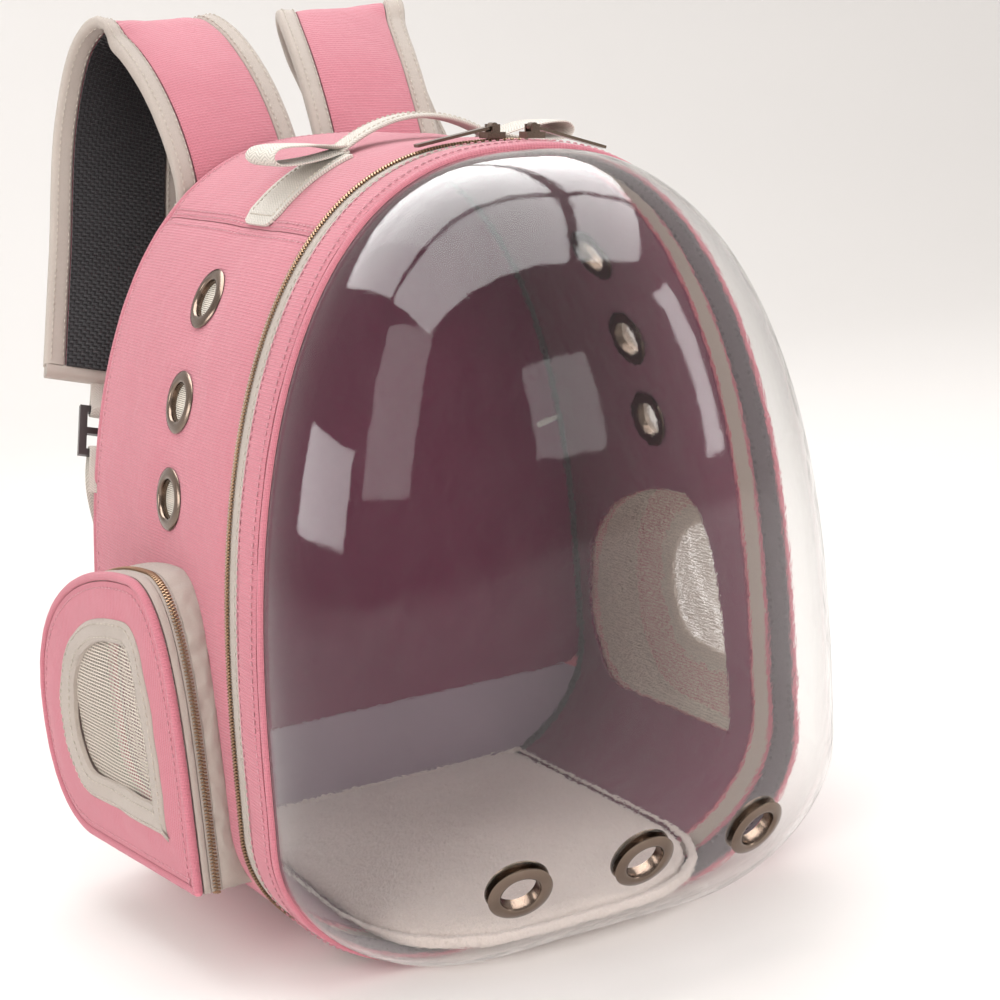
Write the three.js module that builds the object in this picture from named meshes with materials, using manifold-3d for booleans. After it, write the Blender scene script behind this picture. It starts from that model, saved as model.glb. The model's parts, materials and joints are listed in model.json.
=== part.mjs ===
// Bubble pet carrier backpack: a padded fabric body with an arched front view, a zipped door that
// carries a clear dome, a zipped pod on each side, eyelets, a top handle and two shoulder straps.
// Millimetres, +Z up, the dome faces -Y, the origin lies under the middle of the body.
import * as THREE from 'three';
import { mergeVertices } from 'three/addons/utils/BufferGeometryUtils.js';
import Module from 'manifold-3d';

const wasm = await Module();
wasm.setup();

// Body
const BODY_WIDTH = 330;
const BODY_HEIGHT = 424;
const BODY_DEPTH = 202;
const WIDEST_HEIGHT = 112;
const ARCH_FULLNESS = 2.45;
const CORNER_ACROSS = 106;
const CORNER_UP = 82;
const SEAM_HEIGHT = 385;
const CORNER_STEPS = 4;
const ARCH_STEPS = 11;

// Walls and clearances
const GAP = 0.3;
const FABRIC = 3;
const LINING = 1.2;
const PIPING = 5.6;
const PIPING_SIDES = 5;
const BINDING_WIDTH = 7;
const BINDING = 2;
const SKIRTING_HEIGHT = 66;

// Door and its zip
const ZIP_TAPE_WIDTH = 15;
const ZIP_TAPE_THICKNESS = 1.4;
const ZIP_TEETH_WIDTH = 4.5;
const ZIP_TEETH_HEIGHT = 1.6;
const ZIP_TEETH_SHIFT = 3;
const ZIP_TEETH_START = 0.5;
const DOOR_BAND_WIDTH = 24;
const DOOR_BAND_WALL = 2.2;
const DOOR_PIPING = 4;
const DOOR_BINDING_WIDTH = 20;
const DOOR_BINDING_WALL = 1;
const DOOR_BINDING_SETBACK = 1;

// Clear dome
const BUBBLE_WALL = 1.5;
const BUBBLE_RIM_WIDTH = 22;
const BUBBLE_DEPTH = 118;
const BUBBLE_FULLNESS = 2.1;
const BUBBLE_CENTRE_HEIGHT = 215;
const BUBBLE_RINGS = 6;
const BUBBLE_EYELET_HEIGHT = 66;
const BUBBLE_EYELET_SPACING = 71;

// Eyelets
const EYELET_OUTER = 34;
const EYELET_HOLE = 21;
const EYELET_FLANGE = 1.2;
const EYELET_BARREL_WALL = 1.1;
const EYELET_NET = 0.8;
const EYELET_SIDES = 10;
const EYELET_DRILL_LENGTH = 30;
const EYELET_NET_SEAT = 0.5;
const FLANGE_SAG = 0.6;
const BUBBLE_FLANGE_RISE = 2.4;
const SIDE_EYELETS = [
  { height: 349, behind: -12 },
  { height: 296, behind: -13 },
  { height: 245, behind: -14 },
];

// Side pods, each an outline in the side view that stands out from the side wall
const POD_FRONT = -85;
const POD_REAR = 92;
const POD_BOTTOM = 49;
const POD_TOP = 212;
const POD_DEPTH_FRONT = 24;
const POD_DEPTH_REAR = 42;
const POD_WALL = 2;
const POD_PIPING = 5;
const POD_ZIP_START = 0.36;
const POD_ZIP_END = 0.62;
const POD_ZIP_RISE = 1.2;
const POD_OPENING_MARGIN = 11;
const POD_WINDOW_SHARE = 0.7;
const POD_NET_SHARE = 0.55;
const POD_WINDOW_FORWARD = 10;
const NET = 0.9;
const POD_STEPS = 5;
const POD_ROOT_DEPTH = 30;
const POD_CUT_DEPTH = 99;
const POD_PIPING_PROUD = 1;
const POD_FACE_RECESS = 1;
const POD_SEAT_SHARE = 0.006;

// Pod outline as shares of its length and height: the two handles of each curve and its end
const POD_CURVES = [
  { leaveAlong: 0.03, leaveUp: 0.45, arriveAlong: 0.02, arriveUp: 0.98, endAlong: 0.27, endUp: 1 },
  { leaveAlong: 0.61, leaveUp: 1, arriveAlong: 1, arriveUp: 0.82, endAlong: 1, endUp: 0.42 },
  { leaveAlong: 1, leaveUp: 0.16, arriveAlong: 0.89, arriveUp: 0, endAlong: 0.7, endUp: 0 },
];

// Top handle
const HANDLE_BEHIND = -25;
const HANDLE_WEBBING = 38;
const HANDLE_THICKNESS = 1.6;
const HANDLE_FOLDED_WIDTH = 18;
const HANDLE_RISE = 12;
const HANDLE_PINCH = 46;
const HANDLE_BOW_REACH = 92;
const HANDLE_BOW_OPENING = 11;
const HANDLE_SEAM_OFFSET = 0.1;
const HANDLE_STEPS = 10;

// Half of a bow's outline as shares of its length and opening, and the share where it is at full width
const BOW_OUTLINE = [
  { along: 0.25, open: 0.3 },
  { along: 0.85, open: 0.5 },
];
const BOW_ROOT = 4;
const BOW_HOLE_START = 0.12;
const BOW_SPREAD_END = 0.6;

// Shoulder straps
const STRAP_WIDTH = 82;
const STRAP_THICKNESS = 7;
const STRAP_LINING = 1.4;
const STRAP_BINDING = 12;
const STRAP_TAB = 24;
const STRAP_TAB_ROOT = 6;
const STRAP_TAB_SLOT_LENGTH = 40;
const STRAP_END_SHARE = 0.6;
const STRAP_ROOT_ACROSS = 47;
const STRAP_SPLAY = 82;
const STRAP_REACH = 92;
const STRAP_CREST_HEIGHT = 492;
const STRAP_END_HEIGHT = 292;
const STRAP_STEPS = 11;
const YOKE_HEIGHT = 30;
const YOKE_TOP = 392;
const YOKE_HALF_WIDTH = 92;
const YOKE_THICKNESS = 2;
const WEBBING_WIDTH = 25;
const WEBBING_THICKNESS = 1.6;
const WEBBING_FOOT_HEIGHT = 60;
const WEBBING_FOOT_ACROSS = 128;
const BUCKLE_WIDTH = 37;
const BUCKLE_HEIGHT = 31;
const BUCKLE_THICKNESS = 3.4;
const BUCKLE_BAR = 4;
const BUCKLE_SLOT_PLAY = 3;
const WEBBING_TAIL = 9;
const WEBBING_LEAVE = 16;
const WEBBING_FOOT_LENGTH = 26;

// The strap's middle line as shares of its splay, of its reach behind the back and of its fall
const STRAP_LINE = [
  { splay: 0, reach: 0, drop: 0.56 },
  { splay: 0, reach: 0.02, drop: 0.42 },
  { splay: 0.04, reach: 0.3, drop: 0.19 },
  { splay: 0.12, reach: 0.66, drop: 0.035 },
  { splay: 0.2, reach: 0.86, drop: 0 },
  { splay: 0.3, reach: 1, drop: 0.08 },
  { splay: 0.48, reach: 0.98, drop: 0.3 },
  { splay: 0.74, reach: 0.66, drop: 0.68 },
  { splay: 1, reach: 0.3, drop: 1 },
];

// Sliders and pull tabs of the door zip
const SLIDER_LENGTH = 11;
const SLIDER_WIDTH = 9;
const SLIDER_HEIGHT = 3.4;
const SLIDER_EAR = 1.4;
const SLIDER_EAR_HEIGHT = 4;
const SLIDER_EAR_ROOT = 1;
const SLIDER_MIDDLE = 21;
const SLIDER_APART = 24;
const PIN_RADIUS = 0.9;
const PIN_CLEARANCE = 0.35;
const PIN_SIDES = 10;
const PULL_LENGTH = 46;
const PULL_EYE_WIDTH = 5;
const PULL_THICKNESS = 1.6;
const PULL_EYE_RADIUS = 2.3;
const LEFT_PULL_DIP = 12;
const RIGHT_PULL_DIP = 14;

// Floor mat
const MAT_THICKNESS = 13;
const MAT_HALF_WIDTH = 110;
const MAT_FORWARD = 164;
const MAT_BINDING = 5;
const MAT_ROUNDING = 0.75;
const MAT_EDGE_DROP = 1;
const MAT_CORNER_STEPS = 5;

const HALF_WIDTH = BODY_WIDTH / 2;
const BACK_Y = BODY_DEPTH / 2;
const ZIP_Y = -BODY_DEPTH / 2;
const WALL_FRONT_Y = ZIP_Y + ZIP_TAPE_WIDTH / 2 + GAP;
const TAPE_FRONT_Y = ZIP_Y - ZIP_TAPE_WIDTH / 2;
const BAND_BACK_Y = TAPE_FRONT_Y - GAP;
const BAND_FRONT_Y = BAND_BACK_Y - DOOR_BAND_WIDTH;
const BACK_PANEL_Y = BACK_Y + GAP;
const BACK_FACE_Y = BACK_PANEL_Y + FABRIC;
const LINING_INSET = FABRIC + GAP;
const CABIN_INSET = LINING_INSET + LINING;
const BUBBLE_INSET = DOOR_BAND_WALL + GAP;
const RIM_FRONT_Y = BAND_FRONT_Y - DOOR_PIPING - GAP;
const RIM_BACK_Y = RIM_FRONT_Y + BUBBLE_RIM_WIDTH;

const COLOURS = {
  pink: { color: 0xdc8a99, roughness: 0.85, metalness: 0 },
  beige: { color: 0xc8beb6, roughness: 0.85, metalness: 0 },
  webbing: { color: 0xd8d2c8, roughness: 0.85, metalness: 0 },
  wine: { color: 0x58243e, roughness: 0.9, metalness: 0 },
  grey: { color: 0x5f565c, roughness: 0.9, metalness: 0 },
  mauve: { color: 0x7d7280, roughness: 0.9, metalness: 0 },
  bronze: { color: 0x6b5848, roughness: 0.35, metalness: 1 },
  gunmetal: { color: 0x4a403c, roughness: 0.25, metalness: 1 },
  black: { color: 0x151214, roughness: 0.9, metalness: 0 },
  plastic: { color: 0x2a1d1c, roughness: 0.45, metalness: 0 },
  net: { color: 0xcfc6bb, roughness: 0.8, metalness: 0 },
  mat: { color: 0xe4d8d4, roughness: 0.95, metalness: 0 },
  clear: { color: 0xf4f6f7, roughness: 0.05, metalness: 0 },
};

const MERGE = 1e-4;
const HALVINGS = 40;

const pack = new THREE.Group();

// Turns any geometry into one that keeps positions only, with shared corners and its faces outward
function closed(geometry) {
  if (geometry.userData.joined) return geometry;
  const bare = geometry.index ? geometry.toNonIndexed() : geometry.clone();
  bare.deleteAttribute('normal');
  bare.deleteAttribute('uv');
  const corners = bare.attributes.position.array;
  for (let i = 0; i < corners.length; i += 1) corners[i] = Math.round(corners[i] / MERGE) * MERGE;
  const merged = mergeVertices(bare, MERGE);
  const place = merged.attributes.position;
  const kept = [];
  let volume = 0;
  const corner = [0, 1, 2].map(() => new THREE.Vector3());
  for (let i = 0; i < merged.index.count; i += 3) {
    const [a, b, c] = [0, 1, 2].map((k) => merged.index.getX(i + k));
    if (a === b || b === c || a === c) continue;
    [a, b, c].forEach((vertex, k) => corner[k].fromBufferAttribute(place, vertex));
    volume += corner[0].dot(corner[1].clone().cross(corner[2]));
    kept.push(a, b, c);
  }
  if (volume < 0) {
    for (let i = 0; i < kept.length; i += 3) [kept[i], kept[i + 1]] = [kept[i + 1], kept[i]];
  }
  merged.setIndex(kept);
  return merged;
}

function solid(geometry) {
  const shape = closed(geometry);
  return new wasm.Manifold(new wasm.Mesh({
    numProp: 3,
    vertProperties: new Float32Array(shape.attributes.position.array),
    triVerts: new Uint32Array(shape.index.array),
  }));
}

function fromSolid(body) {
  const mesh = body.getMesh();
  const shared = Uint32Array.from({ length: mesh.numVert }, (_, vertex) => vertex);
  (mesh.mergeFromVert ?? []).forEach((vertex, i) => { shared[vertex] = mesh.mergeToVert[i]; });
  const geometry = new THREE.BufferGeometry();
  geometry.setAttribute('position', new THREE.BufferAttribute(new Float32Array(mesh.vertProperties), 3));
  geometry.setIndex(new THREE.BufferAttribute(new Uint32Array(mesh.triVerts).map((v) => shared[v]), 1));
  geometry.userData.joined = true;
  return geometry;
}

function cut(geometry, tools) {
  return fromSolid(tools.reduce((body, tool) => body.subtract(solid(tool)), solid(geometry)));
}

function join(geometries) {
  return fromSolid(geometries.slice(1).reduce((body, next) => body.add(solid(next)), solid(geometries[0])));
}

function common(geometry, other) {
  return fromSolid(solid(geometry).intersect(solid(other)));
}

function add(name, geometry, colour) {
  const shape = closed(geometry);
  shape.computeVertexNormals();
  const mesh = new THREE.Mesh(shape, new THREE.MeshStandardMaterial(COLOURS[colour]));
  mesh.name = name;
  pack.add(mesh);
}

// Joins equal sections, each a loop of points, into one skin: round in a ring, or closed at its ends
function loft(sections, ring) {
  const count = sections[0].length;
  const corners = sections.flat().flatMap((point) => [point.x, point.y, point.z]);
  const faces = [];
  const spans = ring ? sections.length : sections.length - 1;
  for (let i = 0; i < spans; i += 1) {
    const here = i * count;
    const there = ((i + 1) % sections.length) * count;
    for (let k = 0; k < count; k += 1) {
      const next = (k + 1) % count;
      if (k < count / 2) faces.push(here + k, there + k, there + next, here + k, there + next, here + next);
      else faces.push(here + k, there + k, here + next, here + next, there + k, there + next);
    }
  }
  if (!ring) {
    const last = (sections.length - 1) * count;
    for (let k = 1; k < count - 1; k += 1) {
      faces.push(0, k, k + 1);
      faces.push(last, last + k + 1, last + k);
    }
  }
  const geometry = new THREE.BufferGeometry();
  geometry.setAttribute('position', new THREE.Float32BufferAttribute(corners, 3));
  geometry.setIndex(faces);
  return geometry;
}

// The front view of the body: corner points from the right end of its flat base round to the left end
function archCorners() {
  const half = [new THREE.Vector2(HALF_WIDTH - CORNER_ACROSS, 0)];
  for (let i = 1; i <= CORNER_STEPS; i += 1) {
    const turn = (i / CORNER_STEPS) * (Math.PI / 2);
    half.push(new THREE.Vector2(
      HALF_WIDTH - CORNER_ACROSS + CORNER_ACROSS * Math.sin(turn),
      CORNER_UP * (1 - Math.cos(turn)),
    ));
  }
  for (let i = 0; i <= ARCH_STEPS; i += 1) {
    const turn = (i / ARCH_STEPS) * (Math.PI / 2);
    const power = 2 / ARCH_FULLNESS;
    half.push(new THREE.Vector2(
      HALF_WIDTH * Math.max(Math.cos(turn), 0) ** power,
      WIDEST_HEIGHT + (BODY_HEIGHT - WIDEST_HEIGHT) * Math.sin(turn) ** power,
    ));
  }
  half[half.length - 1].x = 0;
  const mirrored = half.slice(0, -1).reverse().map((point) => new THREE.Vector2(-point.x, point.y));
  return [...half, ...mirrored];
}

const ARCH = archCorners();
const LAST = ARCH.length - 1;

// The same loop moved inward by a distance, with every flat staying parallel to itself
function archLoop(inset) {
  return ARCH.map((point, i) => {
    const before = ARCH[(i + ARCH.length - 1) % ARCH.length];
    const after = ARCH[(i + 1) % ARCH.length];
    const first = point.clone().sub(before).normalize();
    const second = after.clone().sub(point).normalize();
    const inward = new THREE.Vector2(-first.y - second.y, first.x + second.x).normalize();
    const stretch = 1 / Math.max(inward.dot(new THREE.Vector2(-first.y, first.x)), 0.5);
    return point.clone().addScaledVector(inward, inset * stretch);
  });
}

// A place on the loop is a corner's number and a share of the way to the next; right side first
function placeAtHeight(height, side) {
  for (let i = 0; i < LAST / 2; i += 1) {
    if (ARCH[i].y <= height && ARCH[i + 1].y > height) {
      const place = i + (height - ARCH[i].y) / (ARCH[i + 1].y - ARCH[i].y);
      return side > 0 ? place : LAST - place;
    }
  }
  return LAST / 2;
}

function placeAtTop(across) {
  for (let i = LAST / 2 - 1; i > 0; i -= 1) {
    if (ARCH[i].x > Math.abs(across)) {
      const place = i + (ARCH[i].x - Math.abs(across)) / (ARCH[i].x - ARCH[i + 1].x);
      return across > 0 ? place : LAST - place;
    }
  }
  return LAST / 2;
}

function archAt(inset, place) {
  const loop = archLoop(inset);
  const index = Math.floor(place);
  return loop[index % loop.length].clone().lerp(loop[(index + 1) % loop.length], place - index);
}

function archPath(inset, from, to) {
  const points = [archAt(inset, from)];
  for (let i = Math.floor(from) + 1; i < to; i += 1) points.push(archAt(inset, i));
  points.push(archAt(inset, to));
  return points;
}

function extrudeY(shape, front, back) {
  const options = { depth: back - front, bevelEnabled: false, curveSegments: 1 };
  return new THREE.ExtrudeGeometry(shape, options).rotateX(Math.PI / 2).translate(0, back, 0);
}

function archPlate(inset, front, back) {
  return extrudeY(new THREE.Shape(archLoop(inset)), front, back);
}

function archRing(outer, inner, front, back) {
  const shape = new THREE.Shape(archLoop(outer));
  shape.holes.push(new THREE.Path(archLoop(inner)));
  return extrudeY(shape, front, back);
}

function archStrip(outer, inner, from, to, front, back) {
  const shape = new THREE.Shape([...archPath(outer, from, to), ...archPath(inner, from, to).reverse()]);
  return extrudeY(shape, front, back);
}

// A frame on the body's skin: origin, outward normal and the way along the arch
function skinFrame(place, y) {
  const here = archAt(0, place);
  const ahead = archAt(0, Math.floor(place) + 1);
  const behind = archAt(0, Math.floor(place));
  const along = ahead.sub(behind).normalize();
  return {
    origin: new THREE.Vector3(here.x, y, here.y),
    outward: new THREE.Vector3(along.y, 0, -along.x),
    along: new THREE.Vector3(along.x, 0, along.y),
  };
}

// Stands a geometry built along +Z on a point, facing a direction
function stand(geometry, origin, outward) {
  const turn = new THREE.Quaternion().setFromUnitVectors(new THREE.Vector3(0, 0, 1), outward);
  return geometry.applyQuaternion(turn).translate(origin.x, origin.y, origin.z);
}

// Eyelet: two flanges on a barrel round the hole, with a net across it where it has one
function eyelet(wall, netted) {
  const hole = EYELET_HOLE / 2;
  const barrel = hole + EYELET_BARREL_WALL;
  const rim = EYELET_OUTER / 2;
  const outerFace = EYELET_FLANGE + GAP;
  const innerFace = -wall - GAP - EYELET_FLANGE;
  const profile = [
    [hole, outerFace], [hole, innerFace], [rim, innerFace], [rim, innerFace + EYELET_FLANGE],
    [barrel, innerFace + EYELET_FLANGE], [barrel, outerFace - EYELET_FLANGE],
    [rim, outerFace - EYELET_FLANGE], [rim, outerFace], [hole, outerFace],
  ].map(([radius, height]) => new THREE.Vector2(radius, height));
  const ring = new THREE.LatheGeometry(profile, EYELET_SIDES).rotateX(Math.PI / 2);
  if (!netted) return ring;
  const seat = hole + EYELET_NET_SEAT;
  const disc = new THREE.CylinderGeometry(seat, seat, EYELET_NET, EYELET_SIDES);
  return join([ring, disc.rotateX(Math.PI / 2).translate(0, 0, -wall / 2)]);
}

function eyeletDrill() {
  const radius = EYELET_HOLE / 2 + EYELET_BARREL_WALL + GAP;
  return new THREE.CylinderGeometry(radius, radius, EYELET_DRILL_LENGTH, EYELET_SIDES).rotateX(Math.PI / 2);
}

// The flat flange on a curved wall stands off by the wall's rise across its own width
function riseAcross(place) {
  const frame = skinFrame(place, 0);
  let rise = 0;
  for (let reach = -3; reach <= 3; reach += 0.1) {
    const corner = archAt(0, place + reach);
    const offset = new THREE.Vector3(corner.x, 0, corner.y).sub(frame.origin);
    if (Math.abs(offset.dot(frame.along)) > EYELET_OUTER / 2) continue;
    rise = Math.max(rise, -offset.dot(frame.outward));
  }
  return rise;
}

const sideDrills = { left: [], right: [] };

function buildSideEyelets(name, side) {
  SIDE_EYELETS.forEach((row, i) => {
    const place = placeAtHeight(row.height, side);
    const frame = skinFrame(place, row.behind);
    sideDrills[name].push(stand(eyeletDrill(), frame.origin, frame.outward));
    const wall = FABRIC + GAP + LINING + riseAcross(place) + FLANGE_SAG;
    add(`${name}_grommet_${i + 1}`, stand(eyelet(wall, true), frame.origin, frame.outward), 'gunmetal');
  });
}

// Side pods: the outline in the side view as points [y, z], moved inward by a distance
function podLoop(inset) {
  const curve = new THREE.Path();
  const alongAt = (share) => POD_FRONT + (POD_REAR - POD_FRONT) * share;
  const upAt = (share) => POD_BOTTOM + (POD_TOP - POD_BOTTOM) * share;
  curve.moveTo(POD_FRONT, POD_BOTTOM);
  POD_CURVES.forEach((row) => curve.bezierCurveTo(
    alongAt(row.leaveAlong), upAt(row.leaveUp),
    alongAt(row.arriveAlong), upAt(row.arriveUp),
    alongAt(row.endAlong), upAt(row.endUp),
  ));
  curve.lineTo(POD_FRONT, POD_BOTTOM);
  const points = curve.getPoints(POD_STEPS);
  points.pop();
  return points.map((point, i) => {
    const before = points[(i + points.length - 1) % points.length];
    const after = points[(i + 1) % points.length];
    const first = point.clone().sub(before).normalize();
    const second = after.clone().sub(point).normalize();
    const inward = new THREE.Vector2(first.y + second.y, -first.x - second.x).normalize();
    const stretch = 1 / Math.max(inward.dot(new THREE.Vector2(first.y, -first.x)), 0.6);
    return point.clone().addScaledVector(inward, inset * stretch);
  }).reverse();
}

function podScaled(share) {
  const middle = new THREE.Vector2(
    (POD_FRONT + POD_REAR) / 2 - POD_WINDOW_FORWARD, (POD_TOP + POD_BOTTOM) / 2 + POD_WALL);
  return podLoop(POD_PIPING).map((point) => point.sub(middle).multiplyScalar(share).add(middle));
}

function podDepth(y) {
  const share = (y - POD_FRONT) / (POD_REAR - POD_FRONT);
  return POD_DEPTH_FRONT + (POD_DEPTH_REAR - POD_DEPTH_FRONT) * share;
}

// A plate or ring in the side view, carried outward between two distances that may follow the depth
function podPiece(side, outer, inner, low, high) {
  const shape = new THREE.Shape(outer);
  if (inner) shape.holes.push(new THREE.Path(inner));
  const geometry = new THREE.ExtrudeGeometry(shape, { depth: 1, bevelEnabled: false, curveSegments: 1 });
  const place = geometry.attributes.position;
  for (let i = 0; i < place.count; i += 1) {
    const y = place.getX(i);
    const z = place.getY(i);
    const out = place.getZ(i) < 0.5 ? low(y) : high(y);
    place.setXYZ(i, side * (HALF_WIDTH + out), y, z);
  }
  return geometry;
}

function podOpening(side, inset) {
  return podPiece(side, podLoop(inset), null, () => -POD_CUT_DEPTH, () => POD_DEPTH_REAR);
}

function buildPod(name, side) {
  const skin = archPlate(-GAP, ZIP_Y, BACK_Y);
  const pipingRear = (y) => podDepth(y) - POD_PIPING;
  const zipStart = (y) => POD_ZIP_START * podDepth(y);
  const zipEnd = (y) => POD_ZIP_END * podDepth(y);
  const faceFront = (y) => podDepth(y) - POD_FACE_RECESS;
  const faceRear = (y) => faceFront(y) - POD_WALL;
  const bare = podLoop(0);
  const inside = podLoop(POD_WALL);
  const pipingInset = POD_PIPING - POD_PIPING_PROUD;
  const root = podPiece(side, bare, inside, () => -POD_ROOT_DEPTH, zipStart);
  add(`${name}_pod_gusset`, cut(root, [skin]), 'beige');
  const zip = podPiece(side, podLoop(-POD_ZIP_RISE), inside, (y) => zipStart(y) + GAP, zipEnd);
  add(`${name}_pod_zip`, zip, 'bronze');
  const wall = podPiece(side, bare, inside, (y) => zipEnd(y) + GAP, (y) => pipingRear(y) - GAP);
  add(`${name}_pod_wall`, wall, 'beige');
  const piping = podPiece(side, podLoop(-POD_PIPING_PROUD), podLoop(pipingInset), pipingRear, podDepth);
  add(`${name}_pod_piping`, piping, 'pink');
  const window = podScaled(POD_WINDOW_SHARE);
  add(`${name}_pod_face`, podPiece(side, podLoop(pipingInset + GAP), window, faceRear, faceFront), 'pink');
  const border = podScaled(POD_WINDOW_SHARE - POD_SEAT_SHARE);
  const opening = podScaled(POD_NET_SHARE);
  add(`${name}_pod_window_frame`, podPiece(side, border, opening, faceRear, faceFront), 'beige');
  const pane = podScaled(POD_NET_SHARE - POD_SEAT_SHARE);
  add(`${name}_pod_window_net`, podPiece(side, pane, null, faceRear, (y) => faceRear(y) + NET), 'net');
  const netSheet = archRing(LINING_INSET, CABIN_INSET, WALL_FRONT_Y, BACK_Y);
  add(`${name}_side_net`, common(netSheet, podOpening(side, POD_OPENING_MARGIN + GAP)), 'net');
}

// Padded body: sides and top meet at a seam, the base is the flat between the lower corners
function buildBody() {
  const rightSeam = placeAtHeight(SEAM_HEIGHT, 1);
  const leftSeam = LAST - rightSeam;
  const seamGap = GAP / ARCH[0].distanceTo(ARCH[1]);
  const sides = [['right', 1, seamGap, rightSeam], ['left', -1, leftSeam, LAST - seamGap]];
  sides.forEach(([name, side, from, to]) => {
    const panel = archStrip(0, FABRIC, from, to, WALL_FRONT_Y, BACK_Y);
    const holes = [...sideDrills[name], podOpening(side, POD_OPENING_MARGIN)];
    add(`${name}_side_panel`, cut(panel, holes), 'pink');
  });
  const topGap = 2 * seamGap;
  add('top_panel', archStrip(0, FABRIC, rightSeam + topGap, leftSeam - topGap, WALL_FRONT_Y, BACK_Y), 'pink');
  const baseHalf = HALF_WIDTH - CORNER_ACROSS;
  const base = new THREE.BoxGeometry(2 * baseHalf, BACK_Y - WALL_FRONT_Y, FABRIC);
  add('base_panel', base.translate(0, (BACK_Y + WALL_FRONT_Y) / 2, FABRIC / 2), 'pink');
  add('back_panel', archPlate(PIPING + GAP, BACK_PANEL_Y, BACK_FACE_Y), 'pink');
  const pipingLoop = archLoop(PIPING / 2).map((point) => {
    const middle = new THREE.Vector3(point.x, BACK_PANEL_Y + PIPING / 2, point.y);
    return { middle };
  });
  const outerLoop = archLoop(0);
  add('back_piping', loft(pipingLoop.map(({ middle }, i) => {
    const outer = new THREE.Vector3(outerLoop[i].x, middle.y, outerLoop[i].y).sub(middle);
    return Array.from({ length: PIPING_SIDES }, (_, k) => {
      const turn = (k / PIPING_SIDES) * 2 * Math.PI;
      const along = new THREE.Vector3(0, (PIPING / 2) * Math.sin(turn), 0);
      return middle.clone().addScaledVector(outer, Math.cos(turn)).add(along);
    });
  }), true), 'pink');
}

// Cabin: lining round the walls, lining on the back with a skirting strip, and a bound corner
function buildCabin() {
  const liningBack = BACK_Y - BINDING_WIDTH - GAP;
  const holes = [...sideDrills.left, ...sideDrills.right,
    podOpening(1, POD_OPENING_MARGIN), podOpening(-1, POD_OPENING_MARGIN)];
  add('cabin_lining', cut(archRing(LINING_INSET, CABIN_INSET, WALL_FRONT_Y, liningBack), holes), 'wine');
  add('corner_binding', archRing(LINING_INSET, LINING_INSET + BINDING, liningBack + GAP, BACK_Y), 'grey');
  const lift = new THREE.BoxGeometry(BODY_WIDTH, BODY_DEPTH, BODY_HEIGHT);
  const aboveSkirting = lift.clone().translate(0, BACK_Y, SKIRTING_HEIGHT + BODY_HEIGHT / 2 + GAP / 2);
  const belowSkirting = lift.clone().translate(0, BACK_Y, SKIRTING_HEIGHT - BODY_HEIGHT / 2 - GAP / 2);
  const sheet = archPlate(LINING_INSET + BINDING + GAP, BACK_Y - LINING, BACK_Y);
  add('back_lining', common(sheet, aboveSkirting), 'wine');
  add('back_skirting', common(sheet, belowSkirting), 'mauve');
}

function buildDoor() {
  const tapeBack = ZIP_Y + ZIP_TAPE_WIDTH / 2;
  add('door_zip_tape', archRing(GAP, GAP + ZIP_TAPE_THICKNESS, TAPE_FRONT_Y, tapeBack), 'beige');
  const teethFront = ZIP_Y + ZIP_TEETH_SHIFT - ZIP_TEETH_WIDTH / 2;
  const teeth = archStrip(
    -ZIP_TEETH_HEIGHT, 0, ZIP_TEETH_START, LAST - ZIP_TEETH_START, teethFront, teethFront + ZIP_TEETH_WIDTH);
  add('door_zip_teeth', teeth, 'bronze');
  add('door_band', archRing(0, DOOR_BAND_WALL, BAND_FRONT_Y, BAND_BACK_Y), 'pink');
  const pipingBack = BAND_FRONT_Y - GAP;
  add('door_piping', archRing(0, DOOR_BAND_WALL, pipingBack - DOOR_PIPING, pipingBack), 'pink');
  const inset = BUBBLE_INSET + BUBBLE_WALL + GAP;
  const front = RIM_FRONT_Y + DOOR_BINDING_SETBACK;
  const binding = archRing(inset, inset + DOOR_BINDING_WALL, front, front + DOOR_BINDING_WIDTH);
  add('door_inner_binding', binding, 'grey');
}

// The dome shrinks toward a point at its centre height as it comes forward
function domeRing(inset, depth, turn) {
  const power = 2 / BUBBLE_FULLNESS;
  const share = Math.max(Math.cos(turn), 0) ** power;
  const y = RIM_FRONT_Y - depth * Math.sin(turn) ** power;
  return archLoop(inset).map((point) => new THREE.Vector3(
    point.x * share, y, BUBBLE_CENTRE_HEIGHT + (point.y - BUBBLE_CENTRE_HEIGHT) * share));
}

function domeSkin(inset, depth) {
  const rings = [archLoop(inset).map((point) => new THREE.Vector3(point.x, RIM_BACK_Y, point.y))];
  for (let i = 0; i < BUBBLE_RINGS; i += 1) {
    rings.push(domeRing(inset, depth, (i / BUBBLE_RINGS) * (Math.PI / 2)));
  }
  rings.push(domeRing(inset, depth, Math.PI / 2).map((point) => point.setX(0)));
  return loft(rings, false);
}

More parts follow.
